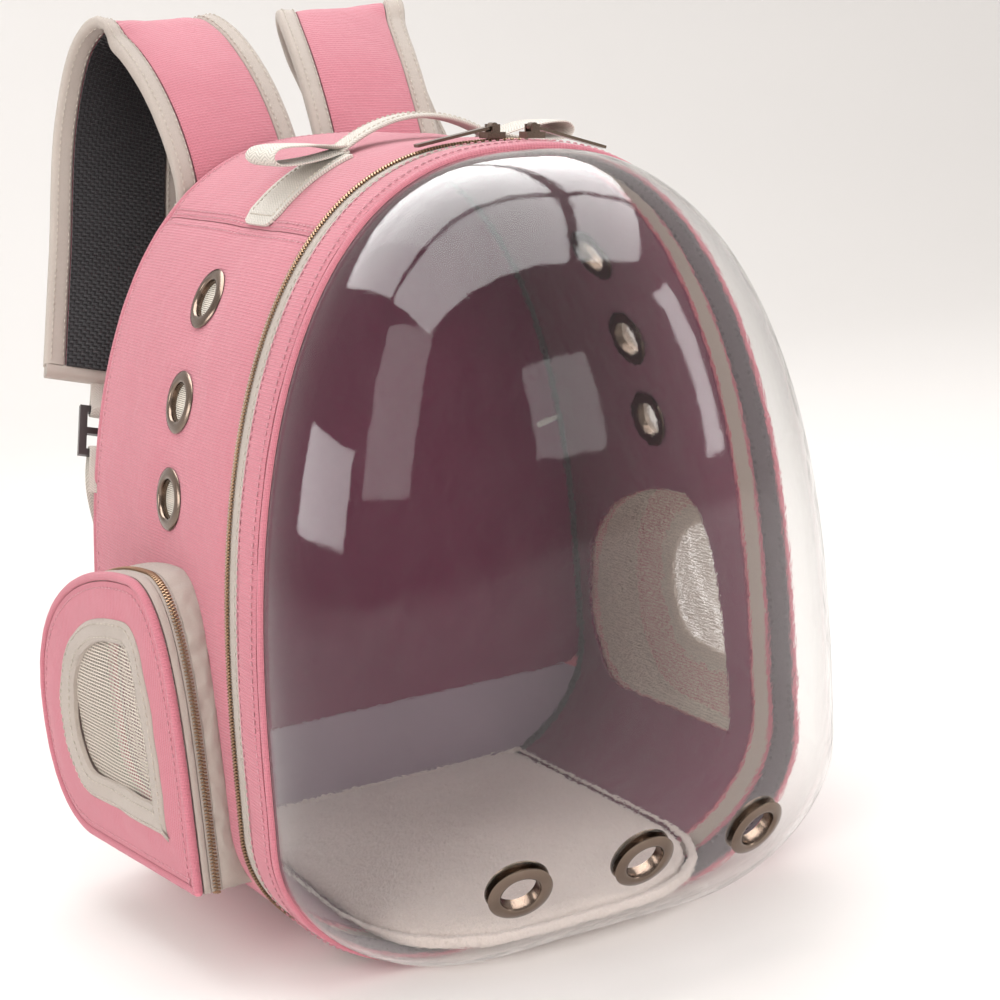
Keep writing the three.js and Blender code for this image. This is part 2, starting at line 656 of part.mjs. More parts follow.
function domeFrame(across, height) {
  const ringHalf = (share, z) => {
    const flat = BUBBLE_CENTRE_HEIGHT + (z - BUBBLE_CENTRE_HEIGHT) / share;
    const loop = archLoop(BUBBLE_INSET);
    for (let i = 0; i < LAST / 2; i += 1) {
      if (loop[i].y <= flat && loop[i + 1].y > flat) {
        const part = (flat - loop[i].y) / (loop[i + 1].y - loop[i].y);
        return share * (loop[i].x + (loop[i + 1].x - loop[i].x) * part);
      }
    }
    return 0;
  };
  const bottomShare = (z) => (BUBBLE_CENTRE_HEIGHT - z) / (BUBBLE_CENTRE_HEIGHT - BUBBLE_INSET);
  const forward = (x, z) => {
    let low = bottomShare(z);
    let high = 1;
    for (let i = 0; i < HALVINGS; i += 1) {
      const middle = (low + high) / 2;
      if (ringHalf(middle, z) > Math.abs(x)) high = middle;
      else low = middle;
    }
    return RIM_FRONT_Y - BUBBLE_DEPTH * (1 - high ** BUBBLE_FULLNESS) ** (1 / BUBBLE_FULLNESS);
  };
  const reach = 6;
  const origin = new THREE.Vector3(across, forward(across, height), height);
  const sideFall = forward(across + reach, height) - forward(across - reach, height);
  const upFall = forward(across, height + reach) - forward(across, height - reach);
  const rightward = new THREE.Vector3(2 * reach, sideFall, 0);
  const upward = new THREE.Vector3(0, upFall, 2 * reach);
  return { origin, outward: rightward.cross(upward).normalize() };
}

function buildBubble() {
  const inner = domeSkin(BUBBLE_INSET + BUBBLE_WALL, BUBBLE_DEPTH - BUBBLE_WALL);
  const through = archPlate(BUBBLE_INSET + BUBBLE_WALL, RIM_BACK_Y - 1, RIM_BACK_Y + 1);
  const drills = [];
  [-1, 0, 1].forEach((row, i) => {
    const frame = domeFrame(row * BUBBLE_EYELET_SPACING, BUBBLE_EYELET_HEIGHT);
    drills.push(stand(eyeletDrill(), frame.origin, frame.outward));
    const wall = BUBBLE_WALL + BUBBLE_FLANGE_RISE;
    add(`bubble_grommet_${i + 1}`, stand(eyelet(wall, false), frame.origin, frame.outward), 'gunmetal');
  });
  add('bubble', cut(domeSkin(BUBBLE_INSET, BUBBLE_DEPTH), [inner, through, ...drills]), 'clear');
}

// Floor mat: fills the cabin floor to its rounded front inside the dome, with a bound edge
function matPlan(inset) {
  const half = MAT_HALF_WIDTH - inset;
  const back = BACK_Y - LINING - GAP - inset;
  const front = -MAT_FORWARD + inset;
  const round = half * MAT_ROUNDING;
  const right = [new THREE.Vector2(half, back)];
  for (let step = 0; step <= MAT_CORNER_STEPS; step += 1) {
    const turn = (step / MAT_CORNER_STEPS) * (Math.PI / 2);
    const across = half - round + round * Math.cos(turn);
    right.push(new THREE.Vector2(across, front + round - round * Math.sin(turn)));
  }
  const left = right.map((point) => new THREE.Vector2(-point.x, point.y));
  return [...left, ...right.reverse()];
}

function buildMat() {
  const floor = LINING_INSET + BINDING + GAP;
  const cabinFront = RIM_FRONT_Y + DOOR_BINDING_SETBACK + DOOR_BINDING_WIDTH + GAP;
  const cabin = archPlate(floor, cabinFront, BACK_Y - LINING - GAP);
  const bindingInner = BUBBLE_INSET + BUBBLE_WALL + GAP + DOOR_BINDING_WALL;
  const domeInside = domeSkin(bindingInner + GAP, BUBBLE_DEPTH - BUBBLE_WALL - GAP);
  const room = join([cabin, domeInside]);
  const slab = (inset, drop, hole) => {
    const plan = new THREE.Shape(matPlan(inset));
    if (hole) plan.holes.push(new THREE.Path(matPlan(hole)));
    const options = { depth: MAT_THICKNESS - drop, bevelEnabled: false };
    return new THREE.ExtrudeGeometry(plan, options).translate(0, 0, floor);
  };
  add('floor_mat', common(slab(MAT_BINDING + GAP, 0, 0), room), 'mat');
  add('mat_binding', common(slab(0, MAT_EDGE_DROP, MAT_BINDING), room), 'mat');
}

// Handle: webbing sewn flat from each seam, pinched, with a bow each side and a folded grip between
function buildHandle() {
  const front = HANDLE_BEHIND - HANDLE_WEBBING / 2;
  const back = HANDLE_BEHIND + HANDLE_WEBBING / 2;
  const seam = placeAtHeight(SEAM_HEIGHT, 1) + HANDLE_SEAM_OFFSET;
  const pinch = placeAtTop(HANDLE_PINCH);
  const inner = -GAP;
  const outer = -GAP - HANDLE_THICKNESS;
  const rest = archAt(outer, pinch);
  const strips = [
    archStrip(outer, inner, seam, pinch, front, back),
    archStrip(outer, inner, LAST - pinch, LAST - seam, front, back),
  ];
  const bows = [-1, 1].map((side) => {
    const length = HANDLE_BOW_REACH - HANDLE_PINCH;
    const outlineOf = (rootAlong, shrink) => {
      const upper = BOW_OUTLINE.map((row) => new THREE.Vector2(
        row.along * length, row.open * HANDLE_BOW_OPENING - shrink));
      const lower = upper.map((point) => new THREE.Vector2(point.x, -point.y));
      const root = new THREE.Vector2(rootAlong, 0);
      return [root, ...lower, new THREE.Vector2(length - shrink, 0), ...upper.reverse()];
    };
    const shape = new THREE.Shape(outlineOf(-BOW_ROOT, 0));
    shape.holes.push(new THREE.Path(outlineOf(BOW_HOLE_START * length, HANDLE_THICKNESS)));
    const geometry = new THREE.ExtrudeGeometry(shape, { depth: 1, bevelEnabled: false });
    const place = geometry.attributes.position;
    for (let i = 0; i < place.count; i += 1) {
      const along = place.getX(i);
      const open = THREE.MathUtils.clamp(along / (BOW_SPREAD_END * length), 0, 1);
      const width = HANDLE_FOLDED_WIDTH + (HANDLE_WEBBING - HANDLE_FOLDED_WIDTH) * open;
      const y = HANDLE_BEHIND + (place.getZ(i) - 0.5) * width;
      place.setXYZ(i, side * (HANDLE_PINCH + along), y, rest.y + HANDLE_THICKNESS + place.getY(i));
    }
    return geometry;
  });
  const sections = [];
  for (let i = 0; i <= HANDLE_STEPS; i += 1) {
    const share = -1 + (2 * i) / HANDLE_STEPS;
    const x = share * (HANDLE_PINCH + BOW_ROOT / 2);
    const z = rest.y - HANDLE_THICKNESS / 2 + (BODY_HEIGHT + HANDLE_RISE - rest.y) * (1 - share ** 2);
    const half = HANDLE_FOLDED_WIDTH / 2;
    sections.push([[-half, 0], [half, 0], [half, 2 * HANDLE_THICKNESS], [-half, 2 * HANDLE_THICKNESS]]
      .map(([across, up]) => new THREE.Vector3(x, HANDLE_BEHIND + across, z + up)));
  }
  add('carry_handle', join([loft(sections, false), ...strips, ...bows]), 'webbing');
}

function strapCurve(side) {
  const rootY = BACK_FACE_Y + GAP + YOKE_THICKNESS + GAP + STRAP_THICKNESS / 2;
  const fall = STRAP_CREST_HEIGHT - STRAP_END_HEIGHT;
  return new THREE.CatmullRomCurve3(STRAP_LINE.map((row) => new THREE.Vector3(
    side * (STRAP_ROOT_ACROSS + STRAP_SPLAY * row.splay),
    rootY + STRAP_REACH * row.reach,
    STRAP_CREST_HEIGHT - fall * row.drop,
  )), false, 'centripetal');
}

// Frames along the strap: the way on, the way across and the way to the shoulder
function strapFrame(curve, share) {
  const along = curve.getTangentAt(share);
  const across = new THREE.Vector3(1, 0, 0).addScaledVector(along, -along.x).normalize();
  const inward = along.clone().cross(across).normalize();
  return { middle: curve.getPointAt(share), along, across, inward };
}

// A slab along the strap, which may start before the curve's start or go on past its end. The left
// strap's corners run the other way, so that its facets mirror those of the right one
function strapSlab(curve, box, before, after) {
  const mirrored = box.map(([aside, below]) => [-aside, below]).reverse();
  const corners = curve.getPointAt(0).x < 0 ? mirrored : box;
  const sectionAt = ({ middle, along, across, inward }, shift) => {
    const origin = middle.clone().addScaledVector(along, shift);
    return corners.map(([aside, below]) => origin.clone()
      .addScaledVector(across, aside).addScaledVector(inward, below));
  };
  const sections = [];
  for (let i = 0; i <= STRAP_STEPS; i += 1) {
    sections.push(sectionAt(strapFrame(curve, i / STRAP_STEPS), 0));
  }
  if (before > 0) sections.unshift(sectionAt(strapFrame(curve, 0), -before));
  if (after > 0) sections.push(sectionAt(strapFrame(curve, 1), after));
  return loft(sections, false);
}

function box2(left, right, low, high) {
  return [[left, low], [right, low], [right, high], [left, high]];
}

// A strip of webbing in its own frame: along x, with a closed eye at the end that holds a bar
function eyedStrip(length, thickness) {
  const hole = Math.hypot(BUCKLE_BAR, BUCKLE_THICKNESS) / 2 + GAP;
  const outer = hole + thickness;
  const neck = Math.asin(thickness / 2 / outer);
  const profile = new THREE.Shape();
  profile.moveTo(-length, -thickness / 2);
  profile.absarc(0, 0, outer, Math.PI + neck, 3 * Math.PI - neck, false);
  profile.lineTo(-length, thickness / 2);
  const eye = new THREE.Path();
  eye.absarc(0, 0, hole, 0, 2 * Math.PI, false);
  profile.holes.push(eye);
  const options = { depth: WEBBING_WIDTH, bevelEnabled: false, curveSegments: 8 };
  return new THREE.ExtrudeGeometry(profile, options).translate(0, 0, -WEBBING_WIDTH / 2);
}

function placeOnFrame(geometry, origin, along, across) {
  const up = across.clone().cross(along).normalize();
  const basis = new THREE.Matrix4().makeBasis(along, up, across).setPosition(origin);
  return geometry.applyMatrix4(basis);
}

function buildStrap(name, side) {
  const curve = strapCurve(side);
  const half = STRAP_WIDTH / 2;
  const inner = half - STRAP_BINDING;
  const filled = inner - 4 * GAP;
  const mid = STRAP_THICKNESS / 2;
  const liningFace = mid + GAP + STRAP_LINING;
  const end = strapFrame(curve, 1);
  const eyeCentre = end.middle.clone().addScaledVector(end.along, STRAP_TAB);
  const eyed = eyedStrip(STRAP_TAB + STRAP_TAB_ROOT, WEBBING_THICKNESS);
  const tab = placeOnFrame(eyed, eyeCentre, end.along, end.across);
  const pad = strapSlab(curve, box2(-filled, filled, -mid, mid), 0, 0);
  add(`${name}_strap_pad`, join([pad, tab]), 'pink');
  const lining = strapSlab(curve, box2(-filled, filled, mid + GAP, liningFace), 0, 0);
  add(`${name}_strap_lining`, lining, 'black');
  const whole = strapSlab(curve, box2(-half, half, -mid, liningFace), 0, STRAP_BINDING * STRAP_END_SHARE);
  const window = strapSlab(curve, box2(-inner, inner, -mid - GAP / 4, liningFace + GAP / 4), 2, GAP);
  const slot = new THREE.BoxGeometry(
    STRAP_TAB_SLOT_LENGTH, WEBBING_THICKNESS + 2 * GAP, WEBBING_WIDTH + 2 * GAP);
  const tabSlot = placeOnFrame(slot, end.middle, end.along, end.across);
  add(`${name}_strap_binding`, cut(whole, [window, tabSlot]), 'beige');
  buildBuckle(name, side, eyeCentre, end);
}

// Three-bar buckle hung on the pad's tab; the lower webbing hangs from its bottom bar
function buildBuckle(name, side, topBar, end) {
  const barReach = (BUCKLE_HEIGHT - BUCKLE_BAR) / 2;
  const slotLength = (BUCKLE_HEIGHT - 3 * BUCKLE_BAR) / 2;
  const slotWidth = WEBBING_WIDTH + BUCKLE_SLOT_PLAY;
  const slots = [-1, 1].map((way) => new THREE.BoxGeometry(slotLength, slotWidth, 2 * BUCKLE_THICKNESS)
    .translate((way * (slotLength + BUCKLE_BAR)) / 2, 0, 0));
  const frame = cut(new THREE.BoxGeometry(BUCKLE_HEIGHT, BUCKLE_WIDTH, BUCKLE_THICKNESS), slots);
  const centre = topBar.clone().addScaledVector(end.along, barReach);
  const basis = new THREE.Matrix4().makeBasis(end.along, end.across, end.along.clone().cross(end.across))
    .setPosition(centre);
  add(`${name}_strap_buckle`, frame.applyMatrix4(basis), 'plastic');
  const lowBar = topBar.clone().addScaledVector(end.along, 2 * barReach);
  const up = end.across.clone().cross(end.along).normalize();
  const turnRadius = Math.hypot(BUCKLE_BAR, BUCKLE_THICKNESS) / 2 + GAP + WEBBING_THICKNESS / 2;
  const roundBar = (along, out) => lowBar.clone()
    .addScaledVector(end.along, along).addScaledVector(up, out);
  const hook = [roundBar(WEBBING_TAIL, -turnRadius)];
  for (let i = 0; i <= 4; i += 1) {
    const turn = (i / 4) * Math.PI;
    hook.push(roundBar(-turnRadius * Math.sin(turn), -turnRadius * Math.cos(turn)));
  }
  const footY = BACK_FACE_Y + GAP + WEBBING_THICKNESS / 2;
  const foot = new THREE.Vector3(side * WEBBING_FOOT_ACROSS, footY, WEBBING_FOOT_HEIGHT);
  const knee = foot.clone().setZ(WEBBING_FOOT_HEIGHT + WEBBING_FOOT_LENGTH);
  const leave = roundBar(WEBBING_LEAVE, turnRadius);
  const fall = [0.25, 0.5, 0.75].map((share) => leave.clone().lerp(knee, share));
  const route = [...hook, leave, ...fall, knee, foot];
  add(`${name}_strap_webbing`, ribbon(route, end.across, hook.length), 'webbing');
}

// Webbing through points, square to its way, that turns from a first direction across to level
function ribbon(points, sideways, kept) {
  const last = points.length - 1;
  const level = new THREE.Vector3(1, 0, 0);
  const [halfWidth, halfThickness] = [WEBBING_WIDTH / 2, WEBBING_THICKNESS / 2];
  return loft(points.map((point, i) => {
    const turned = THREE.MathUtils.clamp((i - kept) / (last - 1 - kept), 0, 1);
    const wanted = sideways.clone().lerp(level, turned);
    const along = points[Math.min(i + 1, last)].clone().sub(points[Math.max(i - 1, 0)]).normalize();
    const across = wanted.addScaledVector(along, -along.dot(wanted)).normalize();
    const outward = along.clone().cross(across);
    return box2(-halfWidth, halfWidth, -halfThickness, halfThickness)
      .map(([aside, out]) => point.clone().addScaledVector(across, aside).addScaledVector(outward, out));
  }), false);
}

function buildYoke() {
  const bar = new THREE.BoxGeometry(2 * YOKE_HALF_WIDTH, YOKE_THICKNESS, YOKE_HEIGHT)
    .translate(0, BACK_FACE_Y + GAP + YOKE_THICKNESS / 2, YOKE_TOP - YOKE_HEIGHT / 2);
  const within = archPlate(PIPING + 2 * GAP, BACK_Y, BACK_FACE_Y + YOKE_THICKNESS + 2 * GAP);
  add('strap_yoke', common(bar, within), 'webbing');
}

// Slider with two ears and a pin, and the pull tab that swings on the pin
function buildSlider(name, across, way, dip) {
  const place = placeAtTop(across);
  const y = ZIP_Y + ZIP_TEETH_SHIFT;
  const frame = skinFrame(place, y);
  const along = frame.along.clone().multiplyScalar(way);
  const sideways = new THREE.Vector3(0, -way, 0);
  const floor = ZIP_TEETH_HEIGHT + GAP;
  const basis = new THREE.Matrix4().makeBasis(along, sideways, frame.outward).setPosition(frame.origin);
  const pinHeight = floor + SLIDER_HEIGHT + PULL_EYE_RADIUS + GAP;
  const earTop = floor + SLIDER_HEIGHT + SLIDER_EAR_HEIGHT;
  const earMiddle = PULL_EYE_WIDTH / 2 + GAP + SLIDER_EAR / 2;
  const body = new THREE.BoxGeometry(SLIDER_LENGTH, SLIDER_WIDTH, SLIDER_HEIGHT)
    .translate(0, 0, floor + SLIDER_HEIGHT / 2);
  const earHeight = SLIDER_EAR_HEIGHT + SLIDER_EAR_ROOT;
  const ears = [-1, 1].map((ear) => new THREE.BoxGeometry(2 * PULL_EYE_RADIUS, SLIDER_EAR, earHeight)
    .translate(0, ear * earMiddle, earTop - earHeight / 2));
  const pin = new THREE.CylinderGeometry(PIN_RADIUS, PIN_RADIUS, 2 * earMiddle, PIN_SIDES)
    .translate(0, 0, pinHeight);
  add(`${name}_zip_slider`, join([body, ...ears, pin]).applyMatrix4(basis), 'gunmetal');
  const profile = new THREE.Shape();
  const neck = Math.asin(PULL_THICKNESS / 2 / PULL_EYE_RADIUS);
  profile.absarc(0, 0, PULL_EYE_RADIUS, Math.PI + neck, 3 * Math.PI - neck, false);
  profile.lineTo(-PULL_LENGTH, PULL_THICKNESS / 2);
  profile.lineTo(-PULL_LENGTH, -PULL_THICKNESS / 2);
  const hole = new THREE.Path();
  hole.absarc(0, 0, PIN_RADIUS + PIN_CLEARANCE, 0, 2 * Math.PI, false);
  profile.holes.push(hole);
  const options = { depth: PULL_EYE_WIDTH, bevelEnabled: false, curveSegments: 6 };
  const pull = new THREE.ExtrudeGeometry(profile, options)
    .translate(0, 0, -PULL_EYE_WIDTH / 2).rotateX(Math.PI / 2)
    .rotateY(-THREE.MathUtils.degToRad(dip)).translate(0, 0, pinHeight);
  add(`${name}_zip_pull`, pull.applyMatrix4(basis), 'gunmetal');
}

buildSideEyelets('left', -1);
buildSideEyelets('right', 1);
buildBody();
buildCabin();
buildDoor();
buildBubble();
buildMat();
buildPod('left', -1);
buildPod('right', 1);
buildHandle();
buildYoke();
buildStrap('left', -1);
buildStrap('right', 1);
buildSlider('left', SLIDER_MIDDLE - SLIDER_APART / 2, -1, LEFT_PULL_DIP);
buildSlider('right', SLIDER_MIDDLE + SLIDER_APART / 2, 1, RIGHT_PULL_DIP);

export default pack;
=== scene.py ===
"""Looks of a bubble pet carrier backpack: cloth, zips, nets, clear dome and straps over its frame."""

from __future__ import annotations

import json
import logging
import math
from collections.abc import Callable, Sequence
from dataclasses import dataclass, field
from enum import Enum
from functools import cached_property

import bmesh
import bpy
import numpy as np
from mathutils import Matrix, Vector, noise
from mathutils.geometry import delaunay_2d_cdt

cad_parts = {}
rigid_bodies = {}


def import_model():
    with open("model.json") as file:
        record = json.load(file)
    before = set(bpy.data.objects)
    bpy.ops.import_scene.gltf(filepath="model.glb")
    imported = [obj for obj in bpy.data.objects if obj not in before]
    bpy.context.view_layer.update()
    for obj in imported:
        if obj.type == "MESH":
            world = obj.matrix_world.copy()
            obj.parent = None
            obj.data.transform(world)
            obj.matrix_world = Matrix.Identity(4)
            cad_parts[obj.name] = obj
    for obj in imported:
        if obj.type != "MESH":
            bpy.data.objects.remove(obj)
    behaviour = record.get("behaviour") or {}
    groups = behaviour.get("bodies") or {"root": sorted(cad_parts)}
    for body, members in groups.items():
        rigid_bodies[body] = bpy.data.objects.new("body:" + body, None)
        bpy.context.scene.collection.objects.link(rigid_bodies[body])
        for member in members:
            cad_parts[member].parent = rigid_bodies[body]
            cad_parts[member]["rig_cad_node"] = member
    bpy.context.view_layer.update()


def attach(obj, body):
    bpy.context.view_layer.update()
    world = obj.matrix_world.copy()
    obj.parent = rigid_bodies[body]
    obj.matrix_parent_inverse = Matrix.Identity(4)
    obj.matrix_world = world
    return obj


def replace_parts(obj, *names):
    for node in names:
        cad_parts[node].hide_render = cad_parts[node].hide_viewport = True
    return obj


MM = 0.001
BODY = "carrier"
BASE_ARC = 59.0
GAP = 0.3
CLOTH_STEP = 6.5
CUT_STEP = 9.0
CORD_SIDES = 14

log = logging.getLogger("carrier")

Place = Callable[[float, float, float], Sequence[float]]


class Side(Enum):
    """The two sides of the carrier as seen from the front."""

    LEFT = -1
    RIGHT = 1

    @property
    def word(self) -> str:
        """The side's name as the frame's nodes spell it."""
        return self.name.lower()


class Coordinates(Enum):
    """Where a finish reads its position from."""

    CLOTH = "UV"
    SOLID = "Object"


# Small mathematics


def linear(code: int) -> tuple[float, float, float, float]:
    """Turns a screen colour into the shader's linear colour.

    Args:
        code: The colour as 0xRRGGBB.

    Returns:
        Red, green, blue and alpha.
    """
    parts = [((code >> shift) & 255) / 255 for shift in (16, 8, 0)]
    low = [p / 12.92 if p <= 0.04045 else ((p + 0.055) / 1.055) ** 2.4 for p in parts]
    return (low[0], low[1], low[2], 1.0)


def unit(vectors: np.ndarray) -> np.ndarray:
    """Scales vectors to length one.

    Args:
        vectors: One vector or an array of them along the last axis.

    Returns:
        The same array with unit vectors.
    """
    lengths = np.linalg.norm(vectors, axis=-1, keepdims=True)
    return vectors / np.maximum(lengths, 1e-12)


def resample(points: np.ndarray, count: int, closed: bool) -> np.ndarray:
    """Spreads points evenly along a line.

    Args:
        points: The line's points in order.
        count: How many points to return.
        closed: Whether the line returns to its first point.

    Returns:
        The evenly spaced points; a closed line doesn't repeat its first one.
    """
    line = np.vstack([points, points[:1]]) if closed else points
    travel = np.concatenate([[0], np.cumsum(np.linalg.norm(np.diff(line, axis=0), axis=1))])
    wanted = np.linspace(0, travel[-1], count, endpoint=not closed)
    return np.stack([np.interp(wanted, travel, line[:, k]) for k in range(line.shape[1])], axis=1)


def inward_normals(loop: np.ndarray) -> np.ndarray:
    """Finds the way in at each corner of a closed flat loop that runs counter-clockwise.

    Args:
        loop: The loop's points, one row each.

    Returns:
        One vector for each point, longer at sharp corners so that flats stay parallel.
    """
    first = unit(loop - np.roll(loop, 1, axis=0))
    second = unit(np.roll(loop, -1, axis=0) - loop)
    across = unit(np.stack([-(first + second)[:, 1], (first + second)[:, 0]], axis=1))
    share = np.einsum("ij,ij->i", across, np.stack([-first[:, 1], first[:, 0]], axis=1))
    return across / np.maximum(share, 0.6)[:, None]


def ripple(x: float, y: float, z: float, size: float, seed: float = 0.0) -> float:
    """Smooth noise for folds in cloth.

    Args:
        x: First coordinate in millimetres.
        y: Second coordinate in millimetres.
        z: Third coordinate in millimetres.
        size: Width of a fold in millimetres.
        seed: Shifts the pattern.

    Returns:
        A value from about -1 to 1.
    """
    return noise.noise(Vector((x / size + seed, y / size - seed, z / size + 2 * seed)))


def inside(points: np.ndarray, loop: np.ndarray) -> np.ndarray:
    """Tells which points lie within a closed loop.

    Args:
        points: The points, one row each.
        loop: The loop's corners, one row each.

    Returns:
        One truth value for each point.
    """
    after = np.roll(loop, -1, axis=0)
    x, y = points[:, :1], points[:, 1:]
    crosses = (loop[:, 1] > y) != (after[:, 1] > y)
    rise = np.where(np.abs(after[:, 1] - loop[:, 1]) < 1e-12, 1e-12, after[:, 1] - loop[:, 1])
    meets = x < (after[:, 0] - loop[:, 0]) * (y - loop[:, 1]) / rise + loop[:, 0]
    return (crosses & meets).sum(axis=1) % 2 == 1


# Meshes


def new_object(name: str, points: np.ndarray, faces: list, uv: list, sharp: float = 60.0) -> bpy.types.Object:
    """Makes a smooth mesh object from points in millimetres.

    Args:
        name: The object's name.
        points: Vertex positions.
        faces: Vertex numbers of each face.
        uv: One texture position in millimetres for each corner of each face, or an empty list.
        sharp: Edges that bend by more than this many degrees stay sharp.

    Returns:
        The new object, linked to the scene.
    """
    mesh = bpy.data.meshes.new(name)
    mesh.from_pydata((np.asarray(points) * MM).tolist(), [], faces)
    if len(uv):
        layer = mesh.uv_layers.new(name="UVMap")
        layer.data.foreach_set("uv", (np.asarray(uv, float) * MM).ravel())
    shaped = bmesh.new()
    shaped.from_mesh(mesh)
    bmesh.ops.recalc_face_normals(shaped, faces=shaped.faces)
    shaped.to_mesh(mesh)
    shaped.free()
    mesh.polygons.foreach_set("use_smooth", [True] * len(mesh.polygons))
    mesh.set_sharp_from_angle(angle=math.radians(sharp))
    made = bpy.data.objects.new(name, mesh)
    bpy.context.scene.collection.objects.link(made)
    return made


def grid(
    name: str,
    points: np.ndarray,
    uv: np.ndarray,
    ring_rows: bool = False,
    ring_cols: bool = False,
    caps: bool = False,
    sharp: float = 60.0,
) -> bpy.types.Object:
    """Makes a mesh from rows of points.

    Args:
        name: The object's name.
        points: Positions as rows, columns and three coordinates.
        uv: Texture positions, with one row or column more where that way is a ring.
        ring_rows: Whether the last row joins the first.
        ring_cols: Whether the last column joins the first.
        caps: Whether the first and the last row are closed by a face.
        sharp: Edges that bend by more than this many degrees stay sharp.

    Returns:
        The new object.
    """
    rows, cols = points.shape[:2]
    faces, corners = [], []
    for i in range(rows if ring_rows else rows - 1):
        for j in range(cols if ring_cols else cols - 1):
            quad = [(i, j), (i, j + 1), (i + 1, j + 1), (i + 1, j)]
            faces.append([(a % rows) * cols + b % cols for a, b in quad])
            corners.extend(uv[a][b] for a, b in quad)
    if caps:
        faces.append(list(range(cols))[::-1])
        corners.extend(uv[0][b] for b in reversed(range(cols)))
        faces.append([(rows - 1) * cols + b for b in range(cols)])
        corners.extend(uv[rows - 1][b] for b in range(cols))
    return new_object(name, points.reshape(-1, 3), faces, corners, sharp)


def panel(
    name: str,
    outline: np.ndarray,
    holes: list[np.ndarray],
    step: float,
    place: Place,
    thickness: float,
) -> bpy.types.Object:
    """Makes a cloth panel from its flat cut, carried onto a curved surface.

    Args:
        name: The object's name.
        outline: The cut's outline in millimetres.
        holes: Outlines of the openings in it.
        step: Spacing of the mesh inside the outline.
        place: Gives the position of a point of the cut at a distance out of it.
        thickness: The cloth's thickness, or 0 for a single sheet.

    Returns:
        The new object.
    """
    loops = [outline, *holes]
    low, high = outline.min(axis=0), outline.max(axis=0)
    across = np.arange(low[0] + step / 2, high[0], step)
    up = np.arange(low[1] + step / 2, high[1], step * 0.87)
    field_points = np.array([(a + (row % 2) * step / 2, b) for row, b in enumerate(up) for a in across])
    keep = inside(field_points, outline)
    for hole in holes:
        keep &= ~inside(field_points, hole)
    edge = np.vstack(loops)
    field_points = field_points[keep]
    near = np.array([np.min(np.sum((edge - p) ** 2, axis=1)) for p in field_points])
    field_points = field_points[near > (0.45 * step) ** 2]
    flat = [Vector(p) for p in edge] + [Vector(p) for p in field_points]
    borders, start = [], 0
    for loop in loops:
        borders += [(start + k, start + (k + 1) % len(loop)) for k in range(len(loop))]
        start += len(loop)
    corners, _, triangles, *_ = delaunay_2d_cdt(flat, borders, [], 0, 1e-6, False)
    corners = np.array([tuple(c) for c in corners])
    middles = np.array([corners[list(t)].mean(axis=0) for t in triangles])
    kept = inside(middles, outline)
    for hole in holes:
        kept &= ~inside(middles, hole)
    triangles = [list(t) for t, good in zip(triangles, kept) if good]
    top = np.array([place(c[0], c[1], 0.0) for c in corners])
    if thickness <= 0:
        uv = [corners[v] for t in triangles for v in t]
        return new_object(name, top, triangles, uv)
    bottom = np.array([place(c[0], c[1], -thickness) for c in corners])
    count = len(corners)
    faces = triangles + [[v + count for v in reversed(t)] for t in triangles]
    sides = {pair for t in triangles for pair in zip(t, t[1:] + t[:1])}
    faces += [[b, a, a + count, b + count] for a, b in sorted(sides) if (b, a) not in sides]
    uv = [corners[v % count] for f in faces for v in f]
    return new_object(name, np.vstack([top, bottom]), faces, uv)


def sweep(
    name: str,
    path: np.ndarray,
    ways: np.ndarray,
    section: Callable[[int], Sequence[tuple[float, float]]],
    closed: bool,
    sharp: float = 60.0,
) -> bpy.types.Object:
    """Carries a closed section along a path.

    Args:
        name: The object's name.
        path: The path's points.
        ways: For each point, the section's first and second direction.
        section: Gives the section's points at a path point, along those two directions.
        closed: Whether the path is a ring.
        sharp: Edges that bend by more than this many degrees stay sharp.

    Returns:
        The new object.
    """
    rows = []
    for i, origin in enumerate(path):
        rows.append([origin + ways[i][0] * a + ways[i][1] * b for a, b in section(i)])
    rows = np.array(rows)
    travel = np.linalg.norm(np.diff(path, axis=0), axis=1)
    along = np.concatenate([[0], np.cumsum(travel)])
    if closed:
        along = np.append(along, along[-1] + np.linalg.norm(path[0] - path[-1]))
    flat = np.array([(a, b) for a, b in section(0)])
    loop = np.vstack([flat, flat[:1]])
    around = np.concatenate([[0], np.cumsum(np.linalg.norm(np.diff(loop, axis=0), axis=1))])
    uv = np.array([[(u, v) for v in around] for u in along])
    return grid(name, rows, uv, ring_rows=closed, ring_cols=True, caps=not closed, sharp=sharp)


def rounded_box(
    half_wide: float,
    half_thick: float,
    steps: int = 4,
    fullness: float = 4.0,
) -> list[tuple[float, float]]:
    """A flat section with rounded edges.

    Args:
        half_wide: Half its width.
        half_thick: Half its thickness.
        steps: Points in each quarter.
        fullness: How boxy it is: 2 is an ellipse.

    Returns:
        The section's points in order.
    """
    made = []
    for k in range(4 * steps):
        turn = (k + 0.5) / (4 * steps) * 2 * math.pi
        c, s = math.cos(turn), math.sin(turn)
        power = 2 / fullness
        made.append((
            half_wide * math.copysign(abs(c) ** power, c),
            half_thick * math.copysign(abs(s) ** power, s),
        ))
    return made


def path_ways(path: np.ndarray, outward: np.ndarray, closed: bool) -> np.ndarray:
    """Finds the way across a path from its direction and an outward way.

    Args:
        path: The path's points.
        outward: The outward way at each point.
        closed: Whether the path is a ring.

    Returns:
        For each point, the way across and the outward way square to the path.
    """
    if closed:
        along = unit(np.roll(path, -1, axis=0) - np.roll(path, 1, axis=0))
    else:
        along = unit(np.gradient(path, axis=0))
    across = unit(np.cross(outward, along))
    return np.stack([across, unit(np.cross(along, across))], axis=1)


